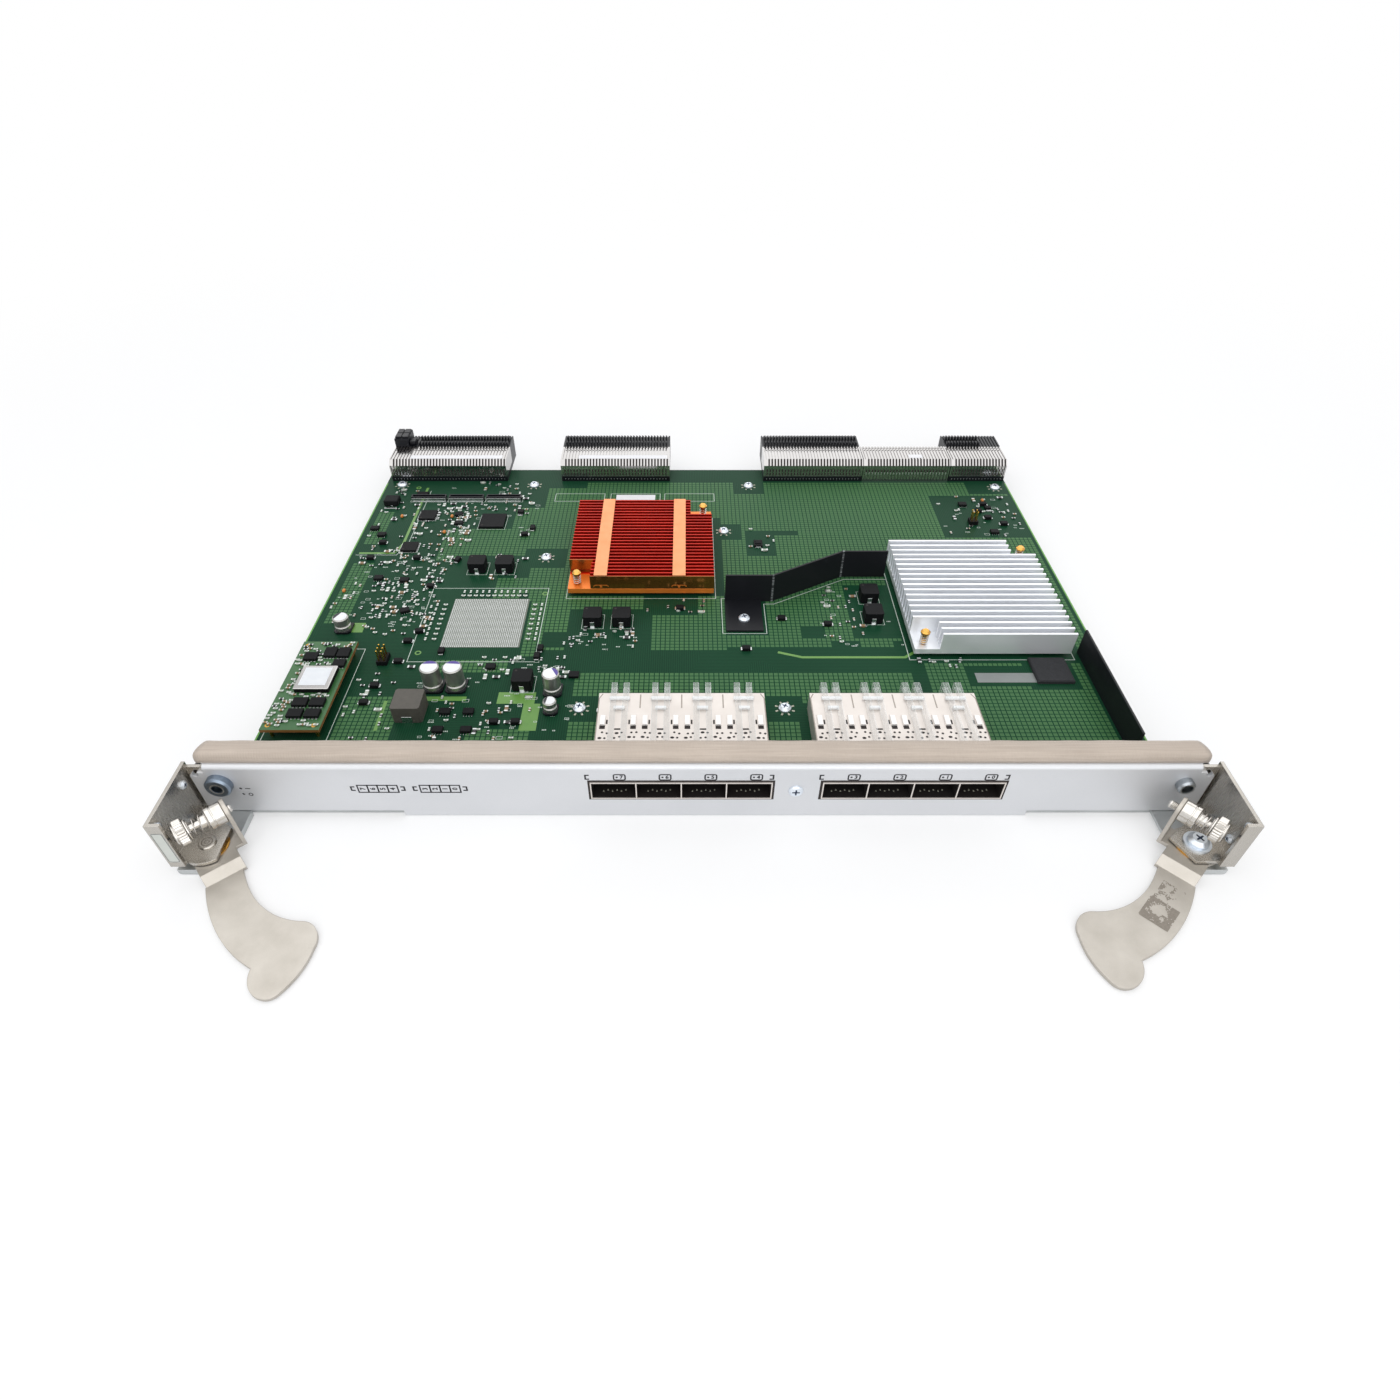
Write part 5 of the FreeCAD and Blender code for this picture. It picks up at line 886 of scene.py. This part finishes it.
# Air baffles: black polyester sheet, scored, folded and screwed down, that turns the air towards the sinks.
# The sheet is a little glossy, and worn pale along its folds.
FOLDS = (40.0, 80.5)
made, tree, shader, place = finish_of("black_polyester_sheet")
across = axes(tree, place)["X"]
scratch = clouded(tree, stretched(tree, place, (0.4, 0.4, 3.0)), 1.6, 4.0)
at_fold = worked(tree, "MAXIMUM", *(worked(tree, "COMPARE", across, fold * MM, 0.55 * MM) for fold in FOLDS))
worn = worked(tree, "MULTIPLY", at_fold, ranged(tree, scratch, 0.0, 1.0, 0.42, 0.62))
give(tree, shader, {"Base Color": mixed(tree, worn, "#17181c", "#8d9093"),
                    "Roughness": ranged(tree, scratch, 0.3, 0.5),
                    "Normal": bumped(tree, clouded(tree, place, 14), 0.35, 0.8), "Specular IOR Level": 0.2})
coat_nodes(made, "air_baffle", "side_baffle")

# Rear connectors: stacks of thin stamped wafers in black moulded housings, pressed into the board's back edge.
# The wafers are bright nickel, pierced near the board and along their tops, and black combs stand behind them.
# rolled nickel, almost a mirror
nickel = surface("bright_nickel_wafers", "#bcbab9", "#a8a6a5", rough=0.13, cloud=30, depth=0.004, metal=1.0)
coat_nodes(nickel, "rear_wafers")
# glass-filled polymer: black, with a dull moulded skin
housing_plastic = surface("black_glass_filled_polymer", "#0e0f14", "#181a20", rough=0.34, cloud=5, grain=0.4,
                          depth=0.03, shine=0.25)
coat_nodes(housing_plastic, "rear_housings", "rear_key_block")
# each stack's left end, its width, and whether a housing stands behind it
REAR = [(-200.2, 76.0, True), (-88.5, 71.0, True), (44.1, 64.6, True), (109.1, 56.4, False), (166.0, 36.4, True)]
REAR_FRONT = 271.0
REAR_BACK = (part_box("rear_housings")[1].y - PANEL_Y) / MM
WAFER_PITCH = 2.0
WAFER_TOP = 13.9
CROWN = 1.45
COMB_BASE = 13.7
eyes, teeth, feet, crowns, windows, blades, shaded_gaps, tabs = ([] for i in range(8))
for number, (left, width, housed) in enumerate(REAR):
    count = int(width / WAFER_PITCH)
    start = left + (width - (count - 1) * WAFER_PITCH) / 2
    for i in range(count - 1):
        x = start + i * WAFER_PITCH + 1.0
        for lift in (4.2, 6.6) if housed else (6.4,):
            eyes.append(spot(board(x, REAR_FRONT - 0.01, lift), size=(1.0, 0.4, 1.6)))
        crowns.append(spot(board(x + 1.0, REAR_FRONT + CROWN, WAFER_TOP - CROWN), (math.pi / 4, 0, 0)))
        for behind in (15.5, 18.6):
            eyes.append(spot(board(x, REAR_FRONT + behind, WAFER_TOP - 0.02), size=(0.8, 2.0, 0.1)))
        if housed:
            feet.append(board(x, REAR_FRONT - PRINT_LIFT, 1.3))
            for row in range(5):
                windows.append(board(x, REAR_BACK, 3.2 + 2.0 * row))
                blades.append(board(x - 0.2, REAR_BACK + 0.04, 3.4 + 2.0 * row))
            # the key block and the end wall take the place of some teeth
            if not ((number == 0 and i < 7) or (number == 4 and i > 10)):
                for behind, high in ((22.6, 1.0), (29.8, 1.1)):
                    teeth.append(spot(board(x, REAR_FRONT + behind, COMB_BASE), size=(1, 1, high)))
        else:
            shaded_gaps.append(board(x + 1.0, REAR_FRONT + 21.0, 2.2))
            tabs.append(board(x, REAR_FRONT - PRINT_LIFT, 4.6))
# the eyes and the crown slots are flat dark blocks: painted shade for the wafers' piercings
blocks("wafer_eyes", (0.8, 0.5, 1.2), 0.05, eyes, opening_shade)
blocks("wafer_crown_slots", (1.05, 4.9, 0.1), 0.04, crowns, opening_shade, base=-0.05)
blocks("comb_teeth", (0.8, 2.6, 2.9), 0.15, teeth, housing_plastic)
# the mating side: rows of contact windows with a gilt blade in each, and the gaps between bare wafers; the windows
# and the gaps are flat dark blocks, painted shade in the openings
blocks("contact_windows", (1.1, 0.06, 1.3), 0.02, windows, opening_shade)
blocks("contact_blades", (0.28, 0.06, 0.9), 0.02, blades, brass)
blocks("wafer_gaps", (0.5, 0.06, 10.5), 0.02, shaded_gaps, opening_shade)
blocks("wafer_tabs", (0.7, 0.1, 1.3), 0.04, tabs, tin)
blocks("housing_feet", (0.5, 0.1, 0.5), 0.04, feet, tin)
key_steps = [board(x, y, 19.08) for y in (296.2, 302.4) for x in (-197.9, -193.5)]
key_steps.append(spot(board(-188.9, 296.2, 14.1), size=(1, 1, 2.6)))
blocks("key_steps", (4.0, 5.6, 1.1), 0.3, key_steps, housing_plastic)
# plain paper labels on the wafers and on the board
label_paper = surface("white_paper_label", "#f4f4f6", "#e6e6ea", rough=0.5, cloud=7, grain=0.4)
wafer_labels = [oblong(-187, -127, 275.0, 279.6), oblong(-77, -19, 275.0, 279.6), oblong(139, 148, 276.0, 280.6)]
printed("wafer_labels", wafer_labels, over_board(WAFER_TOP + 0.05), label_paper)
printed("board_label", [oblong(-51.5, -26.5, 246.7, 253)], over_board(0.06), label_paper)

# Power module: a small green board on turned pins over the main board, with a lidded chip, power transistors and chip
# parts. Its green mask is mottled by tracks, and its sawn edge shows brown laminate.
made, tree, shader, place = finish_of("module_solder_mask")
upward = axes(tree, add(tree, "ShaderNodeNewGeometry").outputs["Normal"])["Z"]
tracks = clouded(tree, place, 3, 4.0)
give(tree, shader, {"Base Color": mixed(tree, worked(tree, "GREATER_THAN", upward, 0.5), "#8d5f33",
                                        mixed(tree, tracks, "#2b5a34", "#3a6b35")),
                    "Normal": bumped(tree, tracks, 0.5, 0.02), "Roughness": 0.36})
coat_nodes(made, "power_module_board")
coat_nodes(brass, "power_module_pins")
coat_nodes(epoxy, "power_module_parts")
MODULE_TOP = 6.6
LID_X, LID_Y = -183.1, 66.75
# power packages: place, width and depth
PACKAGES = [(-191.2, 83.9, 6.4, 5.2), (-182.5, 87.0, 5.8, 6.6), (-175.9, 86.8, 5.8, 6.6), (-175.9, 78.8, 5.8, 5.0),
            (-185.8, 51.3, 6.8, 5.2), (-177.8, 51.3, 6.8, 5.2), (-185.8, 43.9, 6.8, 5.2), (-177.8, 43.9, 6.8, 5.2)]
blocks("module_chip_lid", (16.6, 16.5, 0.7), 0.3, [board(LID_X, LID_Y, MODULE_TOP)], nickel, base=2.15)
# a plain label on the lid
chip_label = surface("white_chip_label", "#eef1f4", "#dfe3e8", rough=0.45, cloud=4, grain=0.4)
printed("module_chip_label", [oblong(LID_X - 6.4, LID_X + 6.4, LID_Y - 6, LID_Y + 6.6)], over_board(MODULE_TOP + 2.9),
        chip_label)
corner_pads = []
for x in (-196.0, -175.0):
    for y in (37.0, 93.5):
        corner_pads += stroke(circle(x, y, 1.0, 16), 0.6, True)
printed("module_pads", corner_pads, over_board(MODULE_TOP + 0.04), brass)
module_picker = random.Random(5)
bits = {"dark": [], "tan": [], "pale": []}
held = [(-192.5, -173.8, 57.5, 76)]
held += [(x - w / 2 - 1, x + w / 2 + 1, y - d / 2 - 1.6, y + d / 2 + 1.6) for x, y, w, d in PACKAGES]
for i in range(260):
    x = round(module_picker.uniform(-197.5, -173.5) * 2) / 2
    y = round(module_picker.uniform(35.5, 95) * 2) / 2
    if not within(x, y, held):
        held.append((x - 1.4, x + 1.4, y - 1.2, y + 1.2))
        bits[module_picker.choice(("dark", "tan", "pale", "pale"))].append(board(x, y, MODULE_TOP))
module_ends = []
for kind, places in bits.items():
    blocks("module_" + kind + "_parts", CHIP_SIZE, CHIP_BEVEL, places, chip_finishes[kind])
    module_ends += [place + Vector((end * END_REACH * MM, 0, 0)) for place in places for end in (-1, 1)]
blocks("module_part_ends", END_SIZE, END_BEVEL, module_ends, tin)
module_legs = [board(x + (i - 1.5) * w / 4, y + end * (d / 2 + 0.3), MODULE_TOP)
               for x, y, w, d in PACKAGES for i in range(4) for end in (-1, 1)]
blocks("module_legs", (0.9, 0.8, 0.35), 0.06, module_legs, tin)

# Can capacitors: drawn aluminium cans crimped over black bases and soldered to the board.
# The polarity is marked by a printed segment of the top.
coat_nodes(surface("drawn_can_aluminium", "#b5b4b1", "#9c9b97", rough=0.32, cloud=8, grain=0.4, depth=0.005,
                   metal=0.85, stretch=(1, 1, 0.1)), "can_capacitors")
coat_nodes(housing_plastic, "capacitor_bases")
# place, radius, height, and the way that the mark faces
CANS = [(-186.0, 114.5, 3.4, 8.5, 2.7), (-129.0, 69.5, 4.0, 13.5, 1.6), (-118.0, 69.5, 4.0, 13.5, 1.5),
        (-71.0, 66.5, 3.6, 12.0, 0.5), (-70.5, 53.0, 2.6, 7.0, 3.0)]
black_can_ink = surface("black_can_ink", "#1b1c22", "#26272e", rough=0.4, cloud=2, depth=0.005)
violet_can_ink = surface("violet_can_ink", "#4b3a8c", "#5a4aa0", rough=0.4, cloud=2, depth=0.005)
# the tops are left paler than the sleeves
can_top = surface("pale_can_top", "#eff0f2", "#e0e2e5", rough=0.45, cloud=3, grain=0.4, metal=0.3)
for i, (x, y, radius, height, facing) in enumerate(CANS):
    printed("can_top_" + str(i), [circle(x, y, radius, 28)], over_board(height + 0.02), can_top)
for name, picks, ink in (("black_can_marks", (0, 4), black_can_ink), ("violet_can_marks", (1, 2, 3), violet_can_ink)):
    for height in sorted({CANS[i][3] for i in picks}):
        segments = []
        for x, y, radius, top, facing in (CANS[i] for i in picks):
            turns = [facing + k * math.pi / 18 for k in range(-6, 7)]
            if top == height:
                segments.append([(x + radius * math.cos(a), y + radius * math.sin(a)) for a in turns])
        printed(name + "_" + str(int(height * 10)), segments, over_board(height + 0.05), ink)

# Moulded inductors: pressed iron powder with tinned tabs bent up their fronts, soldered to the board.
# The large one is left grey-brown, and the other moulded packages share the black epoxy.
coat_nodes(epoxy, "power_inductors", "chip_packages", "pin_headers")
coat_nodes(surface("pressed_iron_powder", "#5b5750", "#47443f", rough=0.6, cloud=3, grain=0.35, depth=0.04),
           "large_inductor")
INDUCTORS = [(-125.6, 170.0), (-110.0, 170.0), (-56.0, 121.0), (-40.7, 121.0), (93.0, 142.0), (92.5, 124.0),
             (-86.0, 71.5)]
tabs = []
for x, y in INDUCTORS:
    for end in (-1, 1):
        tabs += [board(x, y + end * 4.92), spot(board(x, y + end * 5.4), size=(1.3, 4.5, 0.07))]
tabs += [spot(board(-136.0, 52.0 + end * 6.87), size=(2.2, 1, 1.1)) for end in (-1, 1)]
blocks("inductor_tabs", (2.2, 0.26, 3.4), 0.08, tabs, tin)
# moulding dimples on the inductors and packages: flat dark dots, painted shade in each hollow
dimples = [board(x - 3.2, y + 3.2, 6.42) for x, y in INDUCTORS]
dimples += [board(-170.6, 223.4, 1.42), board(-131.2, 214.4, 1.62), board(-173.2, 188.3, 1.42)]
dots("moulding_dimples", 0.6, 12, dimples, opening_shade)

# Slim connectors, pin headers and the soft pad: black mouldings soldered to the board, gold-plated pins, and a square
# of foam stuck down. A tinned shield stands along the front of each slim connector.
coat_nodes(housing_plastic, "slim_connectors")
coat_nodes(surface("gold_plated_pin", "#e6bd57", "#cfa03c", rough=0.22, cloud=2, depth=0.005, metal=1.0),
           "header_pins")
coat_nodes(surface("black_foam_pad", "#1f2023", "#2b2c2f", rough=0.85, cloud=3, grain=0.7, depth=0.15), "square_pad")
blocks("slim_connector_shields", (21.6, 0.2, 2.2), 0.06, [board(x, SLIM_Y - 1.93, 0.2) for x in SLIM_X], tin)

# Ejector brackets: folded stainless channels screwed to the tray's ears and the panel's ends, satin from rolling.
# The left one carries a bare label on its front flange and a peened pivot; each faces a turned insert in the panel.
# rolled stainless sheet, drawn upwards in fine lines
satin = surface("satin_stainless_sheet", "#c3bfb8", "#a8a39c", rough=0.25, cloud=20, depth=0.003, metal=1.0,
                stretch=(1, 1, 0.08), edge=0.35)
coat_nodes(satin, "left_bracket", "right_bracket", "left_pivot_rivet")
# turned inserts in the panel's ends: blued zinc on the left, plain on the right, with a dark disc behind the bore as
# painted shade
bore_rims, bore_shadows = [], []
for word, name, pale, deep in (("left", "blued_zinc_insert", "#8a96a3", "#667281"),
                               ("right", "grey_zinc_insert", "#a7acb0", "#83898f")):
    node = word + "_panel_insert"
    coat_nodes(surface(name, pale, deep, rough=0.3, cloud=2, metal=1.0, edge=0.3), node)
    low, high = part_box(node)
    x, z = (low.x + high.x) / 2, (low.z + high.z) / 2
    bore_rims += stroke(circle(x / MM, z / MM, 2.65, 20), 0.45, True)
    bore_shadows.append(spot(Vector((x, high.y + 0.8 * MM, z)), FACING_FRONT))
insert_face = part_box("left_panel_insert")[0].y
printed("insert_bore_rims", bore_rims, upright_at(insert_face - 0.02 * MM), tin)
dots("insert_dust_caps", 2.9, 18, bore_shadows, opening_shade)
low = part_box("left_bracket")[0]
flange = (low.x + 0.4 * MM, low.z)
# a plain label of pale film, with its printed border
label_pale = surface("pale_polyester_label", "#c9ccc6", "#bcbfb9", rough=0.5, cloud=6, grain=0.4)
printed("bracket_label", [rounded(0.2, 5.0, 3.0, 21.5, 0.8)], upright_at(low.y - 0.03 * MM, *flange), label_pale)
printed("bracket_label_border", stroke(rounded(0.5, 4.7, 3.3, 21.2, 0.7), 0.22, True),
        upright_at(low.y - 0.05 * MM, *flange), panel_ink)
# peened head of the left pivot: shallow rings left by the punch
low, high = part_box("left_pivot_rivet")
rivet = Vector(((low.x + high.x) / 2, (low.y + high.y) / 2, high.z + 0.02 * MM))
punch = stroke(circle(0, 0, 2.1, 18), 0.35, True) + stroke(circle(0, 0, 0.9, 12), 0.3, True)
punched = surface("punched_steel_mark", "#6f6a64", "#857f78", rough=0.5, cloud=1, metal=0.8)
printed("rivet_punch_marks", punch, lambda x, y: rivet + Vector((x * MM, y * MM, 0)), punched)

# Levers: stamped stainless handles, tumbled to a warm satin, that hook the blade out of its rack.
# A torn label has left grey adhesive on the right one.
# tumbled stainless: warm grey, softly clouded
tumbled = surface("tumbled_stainless", "#c8c3bb", "#aaa49b", rough=0.4, cloud=9, grain=0.35, depth=0.02, metal=0.85,
                  spread=0.12, edge=0.45)
coat_nodes(tumbled, "left_lever", "right_lever")
joints = {joint["name"]: joint for joint in frame["joints"]}
RIGHT_OPEN = math.radians(45)
RESIDUE_Z = 1.83
CELL = 0.36
right_pivot = joints["right_lever_swing"]["pos_m"]
# what is left of the adhesive: a ragged patch with its middle rubbed out, and a thinner one nearer the pivot
corners, faces = [], []
for i in range(70):
    for k in range(38):
        x, y = 22.0 + i * CELL, -9.4 + k * CELL
        rag = noise.noise(Vector((x * 0.42, y * 0.5, 3.0))) + 0.7 * noise.noise(Vector((x * 1.7, y * 1.9, 8.0)))
        lower = 33.2 < x < 45.6 and -8.8 < y < 2.8 and rag > -0.42
        rubbed_out = math.hypot(x - 38.2, y + 2.6) < 3.0 + 2.2 * rag
        upper = 23.0 < x < 33.2 and -7.0 < y < 1.8 and rag > 0.5 - 0.075 * (y + 7.0) + 0.02 * (x - 23.0)
        if not ((lower and not rubbed_out) or upper):
            continue
        faces.append(tuple(range(len(corners), len(corners) + 4)))
        for px, py in oblong(x, x + CELL, y, y + CELL)[::-1]:
            a = -px * math.cos(RIGHT_OPEN) - py * math.sin(RIGHT_OPEN)
            b = -px * math.sin(RIGHT_OPEN) + py * math.cos(RIGHT_OPEN)
            corners.append(Vector((right_pivot[0] + a * MM, right_pivot[1] + b * MM, RESIDUE_Z * MM)))
# dried label adhesive: grey and flat
adhesive = surface("grey_adhesive_residue", "#9b9388", "#7d756b", rough=0.85, cloud=0.7, grain=0.35, depth=0.05)
piece("adhesive_residue", plain_mesh("adhesive_residue", corners, faces), adhesive, "right_lever")

# Captive thumbscrews: knurled nickel-plated knobs on necked screws, held in ferrules that are pressed into the
# levers' flanges. A loose wire spring and a washer push each knob out of its ferrule.
# bright nickel over brass
plated = surface("nickel_plated_brass", "#dad7d2", "#bdb9b3", rough=0.18, cloud=3, depth=0.005, metal=1.0, edge=0.15)
coat_nodes(plated, "left_screw_washer", "right_screw_washer")
# turned outlines: stations along the screw's axis and radii
KNOB = [(-8.75, 0.0), (-8.7, 1.8), (-8.55, 3.3), (-8.2, 4.3), (-7.9, 4.55), (-7.55, 4.55), (-7.5, 4.15), (-7.2, 4.15),
        (-7.15, 5.1), (-6.9, 5.45), (-4.3, 5.45), (-3.95, 5.1), (-3.55, 4.3), (-3.55, 1.4)]
THREAD = [(7.2 + 0.25 * i, 1.74 if i % 2 else 1.5) for i in range(24)]
SHANK = [(6.6, 1.4), (7.0, 1.72)] + THREAD + [(13.4, 1.7), (14.0, 1.2), (14.0, 0.0)]
FERRULE = [(1.5, 2.05), (1.5, 2.6), (4.5, 2.6), (4.5, 4.4), (4.75, 4.7), (6.3, 4.7), (6.4, 4.35), (6.9, 4.35),
           (7.0, 4.7), (10.6, 4.7), (10.95, 4.35), (10.95, 2.85), (12.4, 2.85), (12.4, 2.05), (1.5, 2.05)]
KNURLS, KNURL_DEPTH, KNURL_RADIUS = 28, 0.42, 5.4
FERRULE_SIDES = 48
KNOB_FACE = -8.78
SPRING_START, SPRING_END = -2.95, 4.45
TURNS, TURN_STEPS, WIRE, WIRE_SIDES, COIL = 3.5, 26, 0.25, 8, 3.3
DEAD_TURN = 0.11  # the share of the coil that lies flat at each end
UP = Vector((0, 0, 1))


def turned(name, outline, sides, start, along, across, knurl=0.0):
    """A turned shape round an axis, with knurl mm cut from every other edge of its rim."""
    corners = []
    for station, radius in outline:
        for i in range(sides):
            a = 2 * math.pi * i / sides
            cut = knurl if i % 2 and radius > KNURL_RADIUS else 0.0
            out = across * math.cos(a) + UP * math.sin(a)
            corners.append(start + along * (station * MM) + out * ((radius - cut) * MM))
    return plain_mesh(name, corners, ring_faces(len(outline), sides))


for word, press in (("left", 0.0), ("right", 2.0)):
    joint = joints[word + "_screw_turn"]
    start = Vector(joint["pos_m"])
    along = Vector(joint["axis"]).normalized()
    across = along.cross(UP)
    # the knurled knob and its screw
    name = word + "_knurled_thumbscrew"
    mesh = turned(name, [(s + press, r) for s, r in KNOB + SHANK], 2 * KNURLS, start, along, across, KNURL_DEPTH)
    face_outwards(mesh, weld=1e-6)
    screw = piece(name, mesh, plated, word + "_thumbscrew")
    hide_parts(word + "_thumbscrew")
    # the screwdriver slot in the knob's face, drawn as a flat dark inlay: painted shade in place of a cut slot
    name = word + "_knob_slot"
    face = start + along * ((KNOB_FACE + press) * MM)
    groove = [face + across * (x * MM) + UP * (z * MM) for x, z in oblong(-3.6, 3.6, -0.5, 0.5)]
    piece(name, plain_mesh(name, groove, [(0, 1, 2, 3)]), recess_steel, word + "_thumbscrew")
    # the ferrule in the lever's flange
    name = word + "_turned_ferrule"
    mesh = turned(name, FERRULE, FERRULE_SIDES, start, along, across)
    ferrule = piece(name, mesh, plated, word + "_lever")
    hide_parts(word + "_ferrule")
    # the spring between the washer and the ferrule, its end turns flat
    low, high = SPRING_START + press + WIRE, SPRING_END - WIRE
    steps = int(TURNS * TURN_STEPS)
    corners = []
    for i in range(steps + 1):
        t = i / steps
        rise = min(1.0, max(0.0, (t - DEAD_TURN) / (1 - 2 * DEAD_TURN)))
        a = 2 * math.pi * TURNS * t
        out = across * math.cos(a) + UP * math.sin(a)
        centre = start + along * ((low + (high - low) * rise) * MM) + out * (COIL * MM)
        for x, y in circle(0, 0, WIRE * MM, WIRE_SIDES):
            corners.append(centre + out * x + along * y)
    last = steps * WIRE_SIDES
    ends = [tuple(range(WIRE_SIDES)), tuple(range(last, last + WIRE_SIDES))[::-1]]
    mesh = plain_mesh(word + "_coil_spring", corners, ring_faces(steps + 1, WIRE_SIDES, inward=True) + ends)
    mesh.materials.append(wire)
    for flat in mesh.polygons:
        flat.use_smooth = True
    spring = bpy.data.objects.new(word + "_coil_spring", mesh)
    bpy.context.scene.collection.objects.link(spring)
    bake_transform(spring)
    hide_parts(word + "_spring")

# Studio: a pale floor under the blade, soft overhead light from the front, and a white surround.
# The camera looks down on the blade from in front of its panel.
FLOOR_HALF, FLOOR_Z = 6.0, -0.0004
CAMERA_PITCH = 43.4
corners = [(x, y, FLOOR_Z) for x, y in oblong(-FLOOR_HALF, FLOOR_HALF, -FLOOR_HALF, FLOOR_HALF)]
floor = bpy.data.objects.new("studio_floor", plain_mesh("studio_floor", corners, [(0, 1, 2, 3)]))
bpy.context.scene.collection.objects.link(floor)
made, tree, shader, place = finish_of("white_studio_paper")
give(tree, shader, {"Base Color": linear("#fbfbfb"), "Roughness": 0.9, "Specular IOR Level": 0.1})
# away from the blade the paper is mixed into an even white glow, so it shows pure white there
reach = add(tree, "ShaderNodeVectorMath", {"operation": "LENGTH"}, {0: place}).outputs["Value"]
far = add(tree, "ShaderNodeMapRange", {"interpolation_type": "SMOOTHSTEP"},
          {"Value": reach, "From Min": 0.36, "From Max": 0.85, "To Min": 0.35}).outputs[0]
glow = add(tree, "ShaderNodeEmission", {}, {"Color": (1, 1, 1, 1), "Strength": 1.0}).outputs[0]
sweep = add(tree, "ShaderNodeMixShader", {}, {0: far, 1: shader.outputs[0], 2: glow}).outputs[0]
give(tree, tree.nodes["Material Output"], {"Surface": sweep})
floor.data.materials.append(made)
for name, point, aim, size, power in (
        ("overhead_softbox", (-0.12, -0.3, 1.4), (0, 0.0, 0), (3.0, 2.4), 20.0),
        ("front_fill", (0.1, -1.5, 0.55), (0, -0.1, 0), (1.8, 1.0), 8.0),
        ("back_strip", (0.25, 1.25, 0.75), (0, 0.1, 0), (2.6, 1.0), 6.5)):
    lamp = bpy.data.lights.new(name, "AREA")
    lamp.shape = "RECTANGLE"
    lamp.size, lamp.size_y = size
    lamp.energy = power
    hung = bpy.data.objects.new(name, lamp)
    hung.location = point
    hung.rotation_euler = (Vector(aim) - Vector(point)).to_track_quat("-Z", "Y").to_euler()
    bpy.context.scene.collection.objects.link(hung)
world = bpy.data.worlds.new("white_surround")
world.use_nodes = True
bpy.context.scene.world = world
tree = world.node_tree
tree.nodes.clear()
# pure white where the camera, a mirror or a clear piece shows it, and a soft light on everything else
ray = add(tree, "ShaderNodeLightPath").outputs
shown = worked(tree, "MAXIMUM", ray["Is Camera Ray"],
               worked(tree, "MAXIMUM", ray["Is Glossy Ray"], ray["Is Transmission Ray"]))
white = add(tree, "ShaderNodeBackground", {}, {"Color": (1, 1, 1, 1), "Strength": 1.0}).outputs[0]
soft = add(tree, "ShaderNodeBackground", {}, {"Color": linear("#eef0f4"), "Strength": 0.5}).outputs[0]
either = add(tree, "ShaderNodeMixShader", {}, {0: shown, 1: soft, 2: white}).outputs[0]
add(tree, "ShaderNodeOutputWorld", {}, {"Surface": either})
lens = bpy.data.cameras.new("front_camera")
lens.lens = 21.6
lens.sensor_width = 36.0
lens.shift_x = 0.0098
lens.clip_start = 0.01
camera = bpy.data.objects.new("front_camera", lens)
camera.location = (-0.0066, -0.3735, 0.2876)
camera.rotation_euler = (math.radians(90 - CAMERA_PITCH), 0, 0)
bpy.context.scene.collection.objects.link(camera)
bpy.context.scene.camera = camera
bpy.context.scene.view_settings.view_transform = "Standard"
